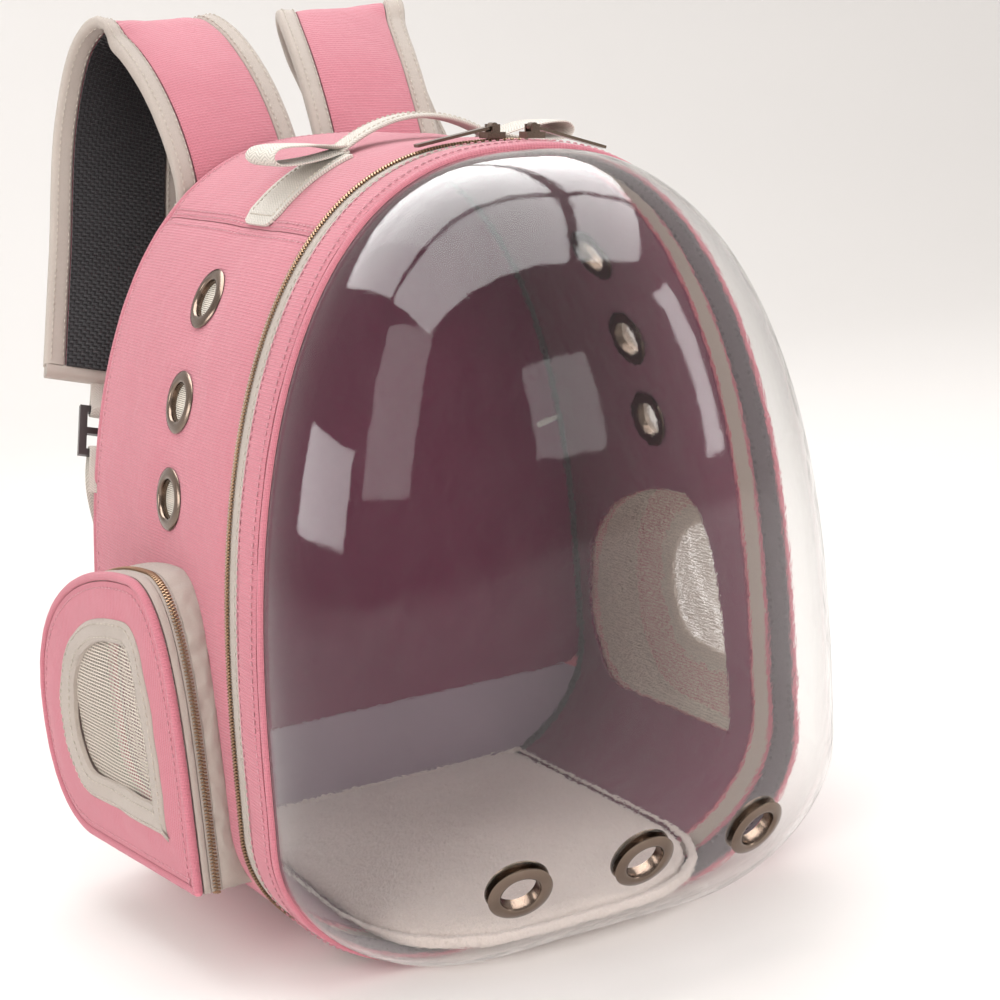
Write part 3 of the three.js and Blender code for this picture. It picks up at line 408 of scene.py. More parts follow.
def join(name: str, parts: list[bpy.types.Object]) -> bpy.types.Object:
    """Joins mesh objects into one.

    Args:
        name: Name of the joined object.
        parts: The objects, which are used up.

    Returns:
        The joined object.
    """
    with bpy.context.temp_override(active_object=parts[0], selected_editable_objects=parts):
        if len(parts) > 1:
            bpy.ops.object.join()
    parts[0].name = name
    parts[0].data.name = name
    return parts[0]


def blocks(name: str, boxes: list[tuple[np.ndarray, np.ndarray, np.ndarray, np.ndarray]]) -> bpy.types.Object:
    """Makes many small chamfered blocks as one mesh.

    Args:
        name: The object's name.
        boxes: For each block its middle and three half edges as vectors.

    Returns:
        The joined mesh object.
    """
    shape, faces = [], []
    for level, size in ((-1.0, 0.62), (-0.55, 1.0), (0.55, 1.0), (1.0, 0.62)):
        shape += [(a * size, b * size, level) for a, b in ((-1, -1), (1, -1), (1, 1), (-1, 1))]
    for ring in range(3):
        for k in range(4):
            a, b = ring * 4 + k, ring * 4 + (k + 1) % 4
            faces.append([a, b, b + 4, a + 4])
    faces += [[3, 2, 1, 0], [12, 13, 14, 15]]
    points, all_faces = [], []
    for n, (middle, first, second, third) in enumerate(boxes):
        points += [middle + first * a + second * b + third * c for a, b, c in shape]
        all_faces += [[v + 16 * n for v in face] for face in faces]
    return new_object(name, np.array(points), all_faces, [], sharp=40)


def stitches(
    name: str,
    lines: list[tuple[np.ndarray, np.ndarray]],
    length: float = 3.1,
    gap: float = 1.2,
    radius: float = 0.42,
) -> bpy.types.Object:
    """Sews rows of thread stitches as one mesh.

    Args:
        name: The object's name.
        lines: For each row its points and the outward way at each point.
        length: Length of one stitch.
        gap: Space between two stitches.
        radius: Half the thread's thickness.

    Returns:
        The joined mesh object.
    """
    sides = 5
    points, faces = [], []
    for path, outward in lines:
        travel = np.concatenate([[0], np.cumsum(np.linalg.norm(np.diff(path, axis=0), axis=1))])
        count = int(travel[-1] // (length + gap))
        for k in range(count):
            ends = [k * (length + gap), k * (length + gap) + length]
            a, b = (np.array([np.interp(e, travel, path[:, c]) for c in range(3)]) for e in ends)
            out = unit(np.array([np.interp(ends[0], travel, outward[:, c]) for c in range(3)]))
            along = unit(b - a)
            side = np.cross(out, along)
            base = len(points)
            points.append(a - out * radius * 0.8)
            for share in (0.22, 0.78):
                centre = a + (b - a) * share + out * radius * 0.35
                for s in range(sides):
                    turn = 2 * math.pi * s / sides
                    points.append(centre + radius * (side * math.cos(turn) + out * math.sin(turn)))
            points.append(b - out * radius * 0.8)
            for s in range(sides):
                p, q = base + 1 + s, base + 1 + (s + 1) % sides
                faces += [[base, q, p], [p, q, q + sides, p + sides], [p + sides, q + sides, base + 11]]
    return new_object(name, np.array(points), faces, [], sharp=80)


def lathe(
    name: str,
    profile: list[tuple[float, float]],
    origin: np.ndarray,
    outward: np.ndarray,
) -> bpy.types.Object:
    """Turns a closed profile about a line.

    Args:
        name: The object's name.
        profile: Points as radius and height.
        origin: Where the line starts.
        outward: The way the line points.

    Returns:
        The new object.
    """
    count = 48
    turn = Vector((0, 0, 1)).rotation_difference(Vector(outward)).to_matrix()
    rows = []
    for k in range(count):
        angle = 2 * math.pi * k / count
        rows.append([
            np.array(turn @ Vector((r * math.cos(angle), r * math.sin(angle), h))) + origin
            for r, h in profile
        ])
    uv = np.zeros((count + 1, len(profile) + 1, 2))
    return grid(name, np.array(rows), uv, ring_rows=True, ring_cols=True, sharp=50)


# Shaders


class Tree:
    """Short ways to add and link nodes in one shader tree."""

    def __init__(self, tree: bpy.types.NodeTree) -> None:
        """Keeps the tree.

        Args:
            tree: The node tree to fill.
        """
        self.tree = tree

    def node(self, kind: str, **values: object) -> bpy.types.Node:
        """Adds a node and sets its properties or inputs.

        Args:
            kind: The node's type name.
            values: Properties by their name, or inputs by their label with _ for spaces.

        Returns:
            The new node.
        """
        made = self.tree.nodes.new(kind)
        for key, value in values.items():
            label = key.replace("_", " ")
            if hasattr(made, key):
                setattr(made, key, value)
            else:
                self.feed(made.inputs[label], value)
        return made

    def feed(self, socket: bpy.types.NodeSocket, value: object) -> None:
        """Links a socket to another, or sets its value."""
        if isinstance(value, bpy.types.NodeSocket):
            self.tree.links.new(value, socket)
        else:
            socket.default_value = value

    def calc(self, operation: str, *values: object) -> bpy.types.NodeSocket:
        """Adds a Math node.

        Args:
            operation: The node's operation.
            values: Numbers or sockets for its inputs.

        Returns:
            The result's socket.
        """
        made = self.tree.nodes.new("ShaderNodeMath")
        made.operation = operation
        for socket, value in zip(made.inputs, values):
            self.feed(socket, value)
        return made.outputs[0]

    def mix(self, share: object, first: object, second: object) -> bpy.types.NodeSocket:
        """Mixes two colours.

        Args:
            share: How much of the second, from 0 to 1.
            first: First colour.
            second: Second colour.

        Returns:
            The mixed colour's socket.
        """
        made = self.tree.nodes.new("ShaderNodeMix")
        made.data_type = "RGBA"
        for number, value in ((0, share), (6, first), (7, second)):
            self.feed(made.inputs[number], value)
        return made.outputs[2]


class Group:
    """A named shader group that is built once and placed in many materials."""

    name = "group"
    inputs: tuple[tuple[str, str, object], ...] = ()
    outputs: tuple[tuple[str, str], ...] = ()

    def tree(self) -> bpy.types.NodeTree:
        """Finds the group, or builds it.

        Returns:
            The group's node tree.
        """
        found = bpy.data.node_groups.get(self.name)
        if found:
            return found
        made = bpy.data.node_groups.new(self.name, "ShaderNodeTree")
        for label, kind, value in self.inputs:
            socket = made.interface.new_socket(label, in_out="INPUT", socket_type=kind)
            if value is not None:
                socket.default_value = value
        for label, kind in self.outputs:
            made.interface.new_socket(label, in_out="OUTPUT", socket_type=kind)
        tree = Tree(made)
        start = made.nodes.new("NodeGroupInput")
        end = made.nodes.new("NodeGroupOutput")
        results = self.build(tree, start.outputs)
        for label, socket in results.items():
            made.links.new(socket, end.inputs[label])
        return made

    def build(self, tree: Tree, given: object) -> dict[str, bpy.types.NodeSocket]:
        """Fills the group.

        Args:
            tree: Where the nodes go.
            given: The group's inputs by name.

        Returns:
            A socket for each output.
        """
        raise NotImplementedError

    def place(self, tree: Tree, **values: object) -> bpy.types.Node:
        """Puts the group into a material.

        Args:
            tree: The material's tree.
            values: Inputs by name, with _ for spaces.

        Returns:
            The group's node.
        """
        made = tree.tree.nodes.new("ShaderNodeGroup")
        made.node_tree = self.tree()
        for key, value in values.items():
            tree.feed(made.inputs[key.replace("_", " ")], value)
        return made


class Weave(Group):
    """Plain or basket weave: threads that pass over and under each other."""

    name = "Weave"
    inputs = (
        ("Vector", "NodeSocketVector", None),
        ("Threads", "NodeSocketFloat", 1600.0),
        ("Ratio", "NodeSocketFloat", 1.0),
        ("Slant", "NodeSocketFloat", 0.0),
    )
    outputs = (("Height", "NodeSocketFloat"), ("Gap", "NodeSocketFloat"))

    def build(self, tree: Tree, given: object) -> dict[str, bpy.types.NodeSocket]:
        """Builds the crossing threads.

        Args:
            tree: Where the nodes go.
            given: The group's inputs by name.

        Returns:
            The threads' height and the gaps between them, which get painted shade.
        """
        parts = tree.node("ShaderNodeSeparateXYZ", Vector=given["Vector"])
        warp = tree.calc("MULTIPLY", parts.outputs[0], given["Threads"])
        weft_scale = tree.calc("MULTIPLY", given["Threads"], given["Ratio"])
        weft = tree.calc("MULTIPLY", parts.outputs[1], weft_scale)
        shift = tree.calc("MULTIPLY", tree.calc("FLOOR", weft), given["Slant"])
        cell = tree.calc("ADD", tree.calc("FLOOR", tree.calc("ADD", warp, shift)), tree.calc("FLOOR", weft))
        over = tree.calc("PINGPONG", cell, 1.0)
        warp_round = tree.calc("ABSOLUTE", tree.calc("SINE", tree.calc("MULTIPLY", warp, math.pi)))
        weft_round = tree.calc("ABSOLUTE", tree.calc("SINE", tree.calc("MULTIPLY", weft, math.pi)))
        warp_part = tree.calc("MULTIPLY", warp_round, over)
        weft_part = tree.calc("MULTIPLY", weft_round, tree.calc("SUBTRACT", 1.0, over))
        height = tree.calc("ADD", warp_part, weft_part)
        # Low places between the threads, used for painted shade.
        gap = tree.calc("SUBTRACT", 1.0, tree.calc("MINIMUM", tree.calc("MULTIPLY", height, 1.6), 1.0))
        return {"Height": height, "Gap": gap}


class Rib(Group):
    """Flat ribs across a webbing with a herringbone drift."""

    name = "Rib"
    inputs = (("Vector", "NodeSocketVector", None), ("Ribs", "NodeSocketFloat", 900.0))
    outputs = (("Height", "NodeSocketFloat"), ("Gap", "NodeSocketFloat"))

    def build(self, tree: Tree, given: object) -> dict[str, bpy.types.NodeSocket]:
        """Builds the ribs.

        Args:
            tree: Where the nodes go.
            given: The group's inputs by name.

        Returns:
            The ribs' height and the gaps between them, which get painted shade.
        """
        parts = tree.node("ShaderNodeSeparateXYZ", Vector=given["Vector"])
        across = tree.calc("MULTIPLY", parts.outputs[1], given["Ribs"])
        zigzag = tree.calc("PINGPONG", across, 2.0)
        along = tree.calc("MULTIPLY", parts.outputs[0], given["Ribs"])
        drift = tree.calc("ADD", along, tree.calc("MULTIPLY", zigzag, 0.8))
        wave = tree.calc("ABSOLUTE", tree.calc("SINE", tree.calc("MULTIPLY", drift, math.pi)))
        fine = tree.calc("ABSOLUTE", tree.calc("SINE", tree.calc("MULTIPLY", across, math.pi)))
        height = tree.calc("MULTIPLY", wave, tree.calc("ADD", tree.calc("MULTIPLY", fine, 0.35), 0.65))
        # Low places between the ribs, used for painted shade.
        gap = tree.calc("POWER", tree.calc("SUBTRACT", 1.0, height), 2.0)
        return {"Height": height, "Gap": gap}


class Tone(Group):
    """Uneven dye, worn high spots and painted shade in the gaps between threads over a base colour."""

    name = "Tone"
    inputs = (
        ("Vector", "NodeSocketVector", None),
        ("Color", "NodeSocketColor", None),
        ("Gap", "NodeSocketFloat", 0.0),
        ("Depth", "NodeSocketFloat", 0.35),
        ("Patch", "NodeSocketFloat", 14.0),
        ("Strength", "NodeSocketFloat", 0.18),
    )
    outputs = (("Color", "NodeSocketColor"), ("Wear", "NodeSocketFloat"))

    def build(self, tree: Tree, given: object) -> dict[str, bpy.types.NodeSocket]:
        """Builds the colour.

        Args:
            tree: Where the nodes go.
            given: The group's inputs by name.

        Returns:
            The colour and a mask of worn places.
        """
        soft = tree.node("ShaderNodeTexNoise", Vector=given["Vector"], Scale=given["Patch"])
        soft.inputs["Detail"].default_value = 3.0
        speck = tree.node("ShaderNodeTexNoise", Vector=given["Vector"])
        speck.inputs["Scale"].default_value = 900.0
        centred = tree.calc("SUBTRACT", soft.outputs[0], 0.5)
        fine = tree.calc("MULTIPLY", tree.calc("SUBTRACT", speck.outputs[0], 0.5), 0.6)
        change = tree.calc("MULTIPLY", tree.calc("ADD", centred, fine), given["Strength"])
        # Painted shade: the gaps between the threads are made darker by the depth input.
        dark = tree.calc("MULTIPLY", given["Gap"], given["Depth"])
        value = tree.calc("SUBTRACT", tree.calc("ADD", 1.0, change), dark)
        shade = tree.node("ShaderNodeVectorMath", operation="SCALE")
        tree.feed(shade.inputs[0], given["Color"])
        tree.feed(shade.inputs["Scale"], value)
        wear = tree.calc("MULTIPLY", tree.calc("MAXIMUM", centred, 0.0), 2.0)
        return {"Color": shade.outputs[0], "Wear": wear}


class Crease(Group):
    """Small soft creases and puckers as a height."""

    name = "Crease"
    inputs = (
        ("Vector", "NodeSocketVector", None),
        ("Size", "NodeSocketFloat", 60.0),
        ("Fine", "NodeSocketFloat", 0.3),
    )
    outputs = (("Height", "NodeSocketFloat"),)

    def build(self, tree: Tree, given: object) -> dict[str, bpy.types.NodeSocket]:
        """Builds the creases.

        Args:
            tree: Where the nodes go.
            given: The group's inputs by name.

        Returns:
            The creases' height.
        """
        wide = tree.node("ShaderNodeTexNoise", Vector=given["Vector"], Scale=given["Size"])
        wide.inputs["Distortion"].default_value = 0.6
        size = tree.calc("MULTIPLY", given["Size"], 5.0)
        fine = tree.node("ShaderNodeTexNoise", Vector=given["Vector"], Scale=size)
        part = tree.calc("MULTIPLY", fine.outputs[0], given["Fine"])
        return {"Height": tree.calc("ADD", wide.outputs[0], part)}


class Holes(Group):
    """Square net: thin threads with open holes between them."""

    name = "Holes"
    inputs = (
        ("Vector", "NodeSocketVector", None),
        ("Threads", "NodeSocketFloat", 700.0),
        ("Open", "NodeSocketFloat", 0.6),
    )
    outputs = (("Alpha", "NodeSocketFloat"), ("Height", "NodeSocketFloat"))

    def build(self, tree: Tree, given: object) -> dict[str, bpy.types.NodeSocket]:
        """Builds the net.

        Args:
            tree: Where the nodes go.
            given: The group's inputs by name.

        Returns:
            Where there is thread, and the threads' height.
        """
        parts = tree.node("ShaderNodeSeparateXYZ", Vector=given["Vector"])
        threads = []
        for number in (0, 1):
            scaled = tree.calc("MULTIPLY", parts.outputs[number], given["Threads"])
            away = tree.calc("ABSOLUTE", tree.calc("SUBTRACT", tree.calc("FRACT", scaled), 0.5))
            threads.append(tree.calc("MULTIPLY", away, 2.0))
        height = tree.calc("MAXIMUM", threads[0], threads[1])
        alpha = tree.calc("GREATER_THAN", height, given["Open"])
        return {"Alpha": alpha, "Height": height}


class Scuff(Group):
    """Fine scratches and smudges on hard pieces."""

    name = "Scuff"
    inputs = (
        ("Vector", "NodeSocketVector", None),
        ("Low", "NodeSocketFloat", 0.2),
        ("High", "NodeSocketFloat", 0.4),
    )
    outputs = (("Roughness", "NodeSocketFloat"), ("Height", "NodeSocketFloat"), ("Mask", "NodeSocketFloat"))

    def build(self, tree: Tree, given: object) -> dict[str, bpy.types.NodeSocket]:
        """Builds the marks.

        Args:
            tree: Where the nodes go.
            given: The group's inputs by name.

        Returns:
            The roughness, the marks' height and their mask.
        """
        smudge = tree.node("ShaderNodeTexNoise", Vector=given["Vector"])
        smudge.inputs["Scale"].default_value = 70.0
        smudge.inputs["Detail"].default_value = 5.0
        fine = tree.node("ShaderNodeTexNoise", Vector=given["Vector"])
        fine.inputs["Scale"].default_value = 1400.0
        span = tree.calc("SUBTRACT", given["High"], given["Low"])
        rough = tree.calc("ADD", given["Low"], tree.calc("MULTIPLY", smudge.outputs[0], span))
        return {"Roughness": rough, "Height": fine.outputs[0], "Mask": smudge.outputs[0]}


def material(name: str) -> tuple[bpy.types.Material, Tree, bpy.types.Node]:
    """Makes an empty node material.

    Args:
        name: The material's name.

    Returns:
        The material, its tree and its Principled shader.
    """
    made = bpy.data.materials.new(name)
    made.use_nodes = True
    shader = made.node_tree.nodes["Principled BSDF"]
    return made, Tree(made.node_tree), shader


class Pattern(Enum):
    """How a cloth is woven."""

    WEAVE = "weave"
    RIB = "rib"
    PILE = "pile"


@dataclass(frozen=True)
class Cloth:
    """A woven finish."""

    name: str
    colour: int
    threads: float = 1500.0
    slant: float = 0.0
    relief: float = 0.00018
    # How dark the painted shade in the gaps between threads is.
    depth: float = 0.4
    crease: float = 0.0009
    size: float = 55.0
    strength: float = 0.2
    rough: float = 0.85
    sheen: float = 0.25
    pattern: Pattern = Pattern.WEAVE
    coordinates: Coordinates = Coordinates.CLOTH

    def build(self) -> bpy.types.Material:
        """Makes the cloth's material.

        Returns:
            The material.
        """
        made, tree, shader = material(self.name)
        place = tree.node("ShaderNodeTexCoord")
        vector = place.outputs[self.coordinates.value]
        solid = place.outputs["Object"]
        if self.pattern is Pattern.WEAVE:
            threads = Weave().place(tree, Vector=vector, Threads=self.threads, Slant=self.slant)
            height, gap = threads.outputs["Height"], threads.outputs["Gap"]
        elif self.pattern is Pattern.RIB:
            threads = Rib().place(tree, Vector=vector, Ribs=self.threads)
            height, gap = threads.outputs["Height"], threads.outputs["Gap"]
        else:
            pile = tree.node("ShaderNodeTexNoise", Vector=solid)
            pile.inputs["Scale"].default_value = self.threads
            pile.inputs["Detail"].default_value = 2.0
            # The pile's low places get painted shade.
            height, gap = pile.outputs[0], tree.calc("SUBTRACT", 0.75, pile.outputs[0])
        # The gaps of each pattern are painted darker as shade.
        tone = Tone().place(
            tree, Vector=solid, Color=linear(self.colour), Gap=gap, Depth=self.depth, Strength=self.strength)
        tree.feed(shader.inputs["Base Color"], tone.outputs["Color"])
        rough = tree.calc("SUBTRACT", self.rough, tree.calc("MULTIPLY", tone.outputs["Wear"], 0.12))
        tree.feed(shader.inputs["Roughness"], rough)
        shader.inputs["Sheen Weight"].default_value = self.sheen
        shader.inputs["Sheen Roughness"].default_value = 0.45
        shader.inputs["Specular IOR Level"].default_value = 0.3
        folds = Crease().place(tree, Vector=solid, Size=self.size)
        wide = tree.node("ShaderNodeBump", Height=folds.outputs["Height"])
        wide.inputs["Strength"].default_value = 1.0
        wide.inputs["Distance"].default_value = self.crease
        fine = tree.node("ShaderNodeBump", Height=height, Normal=wide.outputs[0])
        fine.inputs["Strength"].default_value = 1.0
        fine.inputs["Distance"].default_value = self.relief
        tree.feed(shader.inputs["Normal"], fine.outputs[0])
        return made


@dataclass(frozen=True)
class Net:
    """An open net finish."""

    name: str
    colour: int
    threads: float = 700.0
    open: float = 0.66

    def build(self) -> bpy.types.Material:
        """Makes the net's material.

        Returns:
            The material.
        """
        made, tree, shader = material(self.name)
        place = tree.node("ShaderNodeTexCoord")
        holes = Holes().place(tree, Vector=place.outputs["UV"], Threads=self.threads, Open=self.open)
        tone = Tone().place(tree, Vector=place.outputs["Object"], Color=linear(self.colour))
        tree.feed(shader.inputs["Base Color"], tone.outputs["Color"])
        tree.feed(shader.inputs["Alpha"], holes.outputs["Alpha"])
        bump = tree.node("ShaderNodeBump", Height=holes.outputs["Height"])
        bump.inputs["Distance"].default_value = 0.0002
        tree.feed(shader.inputs["Normal"], bump.outputs[0])
        shader.inputs["Roughness"].default_value = 0.7
        return made


@dataclass(frozen=True)
class Hard:
    """A metal or moulded plastic finish."""

    name: str
    colour: int
    worn: int
    metal: float
    low: float
    high: float
    coat: float = 0.0

    def build(self) -> bpy.types.Material:
        """Makes the hard finish's material.

        Returns:
            The material.
        """
        made, tree, shader = material(self.name)
        place = tree.node("ShaderNodeTexCoord")
        marks = Scuff().place(tree, Vector=place.outputs["Object"], Low=self.low, High=self.high)
        colour = tree.mix(marks.outputs["Mask"], linear(self.colour), linear(self.worn))
        tree.feed(shader.inputs["Base Color"], colour)
        tree.feed(shader.inputs["Roughness"], marks.outputs["Roughness"])
        shader.inputs["Metallic"].default_value = self.metal
        shader.inputs["Coat Weight"].default_value = self.coat
        bump = tree.node("ShaderNodeBump", Height=marks.outputs["Height"])
        bump.inputs["Distance"].default_value = 0.00004
        tree.feed(shader.inputs["Normal"], bump.outputs[0])
        return made


@dataclass(frozen=True)
class Clear:
    """Clear moulded plastic that lets light through to what is behind it."""

    name: str
    colour: int
    ior: float = 1.42

    def build(self) -> bpy.types.Material:
        """Makes the clear material.

        Returns:
            The material.
        """
        made, tree, shader = material(self.name)
        place = tree.node("ShaderNodeTexCoord")
        marks = Scuff().place(tree, Vector=place.outputs["Object"], Low=0.01, High=0.05)
        tree.feed(shader.inputs["Roughness"], marks.outputs["Roughness"])
        shader.inputs["Base Color"].default_value = linear(self.colour)
        shader.inputs["Metallic"].default_value = 0.0
        shader.inputs["Transmission Weight"].default_value = 1.0
        shader.inputs["IOR"].default_value = self.ior
        bump = tree.node("ShaderNodeBump", Height=marks.outputs["Mask"])
        bump.inputs["Distance"].default_value = 0.00012
        tree.feed(shader.inputs["Normal"], bump.outputs[0])
        rays = tree.node("ShaderNodeLightPath")
        through = tree.node("ShaderNodeBsdfTransparent")
        through.inputs["Color"].default_value = linear(0xF8F6F5)
        soft = tree.calc("MAXIMUM", rays.outputs["Is Shadow Ray"], rays.outputs["Is Diffuse Ray"])
        blend = tree.node("ShaderNodeMixShader")
        tree.feed(blend.inputs[0], soft)
        tree.feed(blend.inputs[1], shader.outputs[0])
        tree.feed(blend.inputs[2], through.outputs[0])
        out = made.node_tree.nodes["Material Output"]
        made.node_tree.links.new(blend.outputs[0], out.inputs["Surface"])
        return made


@dataclass
class Finishes:
    """Every finish of the carrier, built once and given to pieces by slot name."""

    made: dict[str, bpy.types.Material] = field(default_factory=dict)

    def build(self) -> None:
        """Builds all finishes."""
        finishes = {
            # depth sets how dark the painted shade in the gaps between threads is.
            "pink_fabric": Cloth(
                "PinkTwill", 0xD07E8C, threads=1150, slant=1.0, relief=0.00026, strength=0.12, crease=0.0012),
            "beige_fabric": Cloth("BeigeTape", 0xC4B8AE, threads=1700, crease=0.0006),
            "webbing": Cloth(
                "OffWhiteWebbing", 0xD8D2C8, threads=620, relief=0.0003, depth=0.5, pattern=Pattern.RIB),
            "wine_lining": Cloth("WineLining", 0x7A1F4C, threads=2000, crease=0.0016, size=38, sheen=0.4),
            "grey_binding": Cloth("GreyBinding", 0x6A5F66, threads=1500, pattern=Pattern.RIB),
            "mauve_lining": Cloth("MauveLining", 0xA592A0, threads=1800, crease=0.0012),
            "strap_mesh": Cloth("BlackAirMesh", 0x1B171A, threads=420, relief=0.0006, depth=0.8),
            "mat_fabric": Cloth(
                "MatPile", 0xE6DAD4, threads=900, relief=0.0012, depth=0.25, crease=0.002, size=30,
                sheen=0.5, pattern=Pattern.PILE, coordinates=Coordinates.SOLID),
            "thread_pink": Cloth(
                "PinkThread", 0xE3A3AE, threads=2600, crease=0.0001, coordinates=Coordinates.SOLID),
            "thread_beige": Cloth(
                "BeigeThread", 0xD9CFC2, threads=2600, crease=0.0001, coordinates=Coordinates.SOLID),
            "net": Net("BeigeNet", 0xDDD3C6, threads=500, open=0.68),
            "net_fine": Net("CreamNet", 0xE8E2D6, threads=900, open=0.62),
            "zip_teeth": Hard("BronzeTeeth", 0x8A6F58, 0xA88C70, 0.75, 0.3, 0.5),
            "gunmetal": Hard("GunmetalPlate", 0x5F5148, 0x86766A, 1.0, 0.14, 0.3),
            "buckle_plastic": Hard("DarkBuckle", 0x1C1413, 0x2C201E, 0.0, 0.25, 0.45, 0.3),
            "clear_shell": Clear("ClearShell", 0xFBFBFA, ior=1.3),
        }
        self.made = {name: finish.build() for name, finish in finishes.items()}

    def dress(self, piece: bpy.types.Object, slot: str, finish: str = "") -> bpy.types.Object:
        """Gives a piece the material of its slot or of the given finish, and the body it rides on.

        Args:
            piece: The piece to dress.
            slot: The record's material slot.
            finish: Name of the finish where it isn't the slot's own.

        Returns:
            The same piece.
        """
        piece.data.materials.clear()
        piece.data.materials.append(self.made[finish or slot])
        if "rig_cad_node" not in piece:
            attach(piece, BODY)
        log.info("%s: %d faces, %s", piece.name, len(piece.data.polygons), finish or slot)
        return piece


# Shape of the body


@dataclass(frozen=True)
class Arch:
    """Front view of the body, a closed line measured from the middle of its base, right side first."""

    half_width: float = 165.0
    height: float = 424.0
    widest: float = 112.0
    fullness: float = 2.45
    corner_across: float = 106.0
    corner_up: float = 82.0
    count: int = 3000

    @cached_property
    def loop(self) -> np.ndarray:
        """The line's evenly spaced points as across and up."""
        turn = np.linspace(0, math.pi / 2, 400)
        base = self.half_width - self.corner_across
        corner = np.stack([
            base + self.corner_across * np.sin(turn),
            self.corner_up * (1 - np.cos(turn)),
        ], axis=1)
        power = 2 / self.fullness
        crown = np.stack([
            self.half_width * np.maximum(np.cos(turn), 0) ** power,
            self.widest + (self.height - self.widest) * np.sin(turn) ** power,
        ], axis=1)
        half = np.vstack([[0, 0], corner, crown])
        mirrored = half[::-1] * [-1, 1]
        return resample(np.vstack([half, mirrored[1:-1]]), self.count, closed=True)

    @cached_property
    def normals(self) -> np.ndarray:
        """The outward way at each of the line's points."""
        along = unit(np.roll(self.loop, -3, axis=0) - np.roll(self.loop, 3, axis=0))
        return np.stack([along[:, 1], -along[:, 0]], axis=1)

    @cached_property
    def length(self) -> float:
        """The whole line's length."""
        return float(np.linalg.norm(np.roll(self.loop, -1, axis=0) - self.loop, axis=1).sum())

    def at(self, travel: float, out: float = 0.0) -> tuple[float, float, float, float]:
        """A point on the line or beside it.

        Args:
            travel: Distance along the line from the middle of the base.
            out: Distance outward.

        Returns:
            Across, up, and the outward way's two parts.
        """
        place = (travel / self.length % 1.0) * self.count
        index = int(place)
        share = place - index
        after = (index + 1) % self.count
        index %= self.count
        point = self.loop[index] * (1 - share) + self.loop[after] * share
        way = self.normals[index] * (1 - share) + self.normals[after] * share
        return point[0] + way[0] * out, point[1] + way[1] * out, way[0], way[1]

    def travel_at_height(self, height: float, side: Side) -> float:
        """Where a side reaches a height.

        Args:
            height: Height above the base.
            side: Which side.

        Returns:
            Distance along the line.
        """
        half = self.loop[: self.count // 2]
        index = int(np.searchsorted(half[:, 1], height))
        travel = index / self.count * self.length
        return travel if side is Side.RIGHT else self.length - travel

    def travel_at_top(self, across: float) -> float:
        """Where the top passes a distance from the middle.

        Args:
            across: Distance to the right, or to the left if negative.

        Returns:
            Distance along the line.
        """
        half = self.loop[self.count // 4: self.count // 2]
        index = self.count // 4 + int(np.searchsorted(-half[:, 0], -abs(across)))
        travel = index / self.count * self.length
        return travel if across > 0 else self.length - travel

    def ring(self, out: float, y: float, count: int = 360) -> np.ndarray:
        """A loop of points round the body at a depth.

        Args:
            out: Distance outward from the line.
            y: Depth.
            count: How many points.

        Returns:
            The points as rows.
        """
        rows = [self.at(k / count * self.length, out) for k in range(count)]
        return np.array([(row[0], y, row[1]) for row in rows])

    def outward(self, count: int = 360) -> np.ndarray:
        """The outward way at each point of a ring of that many points."""
        rows = [self.at(k / count * self.length) for k in range(count)]
        return np.array([(row[2], 0.0, row[3]) for row in rows])


ARCH = Arch()


def band(
    name: str,
    front: float,
    back: float,
    outer: Callable[[float, float], float],
    thickness: float,
    rows: int = 6,
    count: int = 420,
    crown: float = 0.0,
) -> bpy.types.Object:
    """A strip of cloth that runs round the whole body.

    Args:
        name: The object's name.
        front: Depth of its front edge.
        back: Depth of its back edge.
        outer: Gives how far out the strip's face lies at a travel and depth.
        thickness: The strip's thickness.
        rows: Points across the strip.
        count: Points round the body.
        crown: How far the middle stands above the edges.

    Returns:
        The new object.
    """
    points, uv = [], []
    for k in range(count + 1):
        travel = k / count * ARCH.length
        line, flat = [], []
        for face, order in ((0.0, range(rows)), (-thickness, reversed(range(rows)))):
            for j in order:
                share = j / (rows - 1)
                y = front + (back - front) * share
                lift = crown * (1 - (2 * share - 1) ** 4) * (0.5 if face else 1.0)
                out = outer(travel, y) + face + lift
                x, z, _, _ = ARCH.at(travel, out)
                line.append((x, y, z))
                flat.append((travel, y + (thickness if face else 0.0) * 3))
        points.append(line)
        uv.append([*flat, flat[0]])
    return grid(name, np.array(points[:-1]), np.array(uv), ring_rows=True, ring_cols=True)


def ring_row(out: float, y: float, count: int = 700) -> tuple[np.ndarray, np.ndarray]:
    """A row for stitches round the whole body.

    Args:
        out: Distance outward from the body's line.
        y: Depth of the row.
        count: Points in the row.

    Returns:
        The row's points and outward ways.
    """
    rows = [ARCH.at(t * ARCH.length, out) for t in np.linspace(0.0, 1.0, count)]
    return (
        np.array([(r[0], y, r[1]) for r in rows]),
        np.array([(r[2], 0.0, r[3]) for r in rows]),
    )


def cord_round(name: str, radius: float, inset: float, y: float, outward: float = 1.0) -> bpy.types.Object:
    """A covered cord round the whole body with its sewn flange pinched beside it.

    Args:
        name: The object's name.
        radius: The cord's radius.
        inset: How far its middle lies inside the body's line.
        y: Depth of its middle.
        outward: Share by which it is flattened outward.

    Returns:
        The new object.
    """
    count = 460
    path = ARCH.ring(-inset, y, count)
    out = ARCH.outward(count)
    depth = np.tile([0.0, 1.0, 0.0], (count, 1))
    ways = np.stack([depth, out], axis=1)

    def section(i: int) -> list[tuple[float, float]]:
        """A slightly uneven circle."""
        swell = 1 + 0.035 * ripple(i, 0, y, 5)
        return [
            (radius * swell * math.cos(t), radius * swell * outward * math.sin(t))
            for t in np.linspace(0, 2 * math.pi, CORD_SIDES, endpoint=False)
        ]

    return sweep(name, path, ways, section, closed=True)


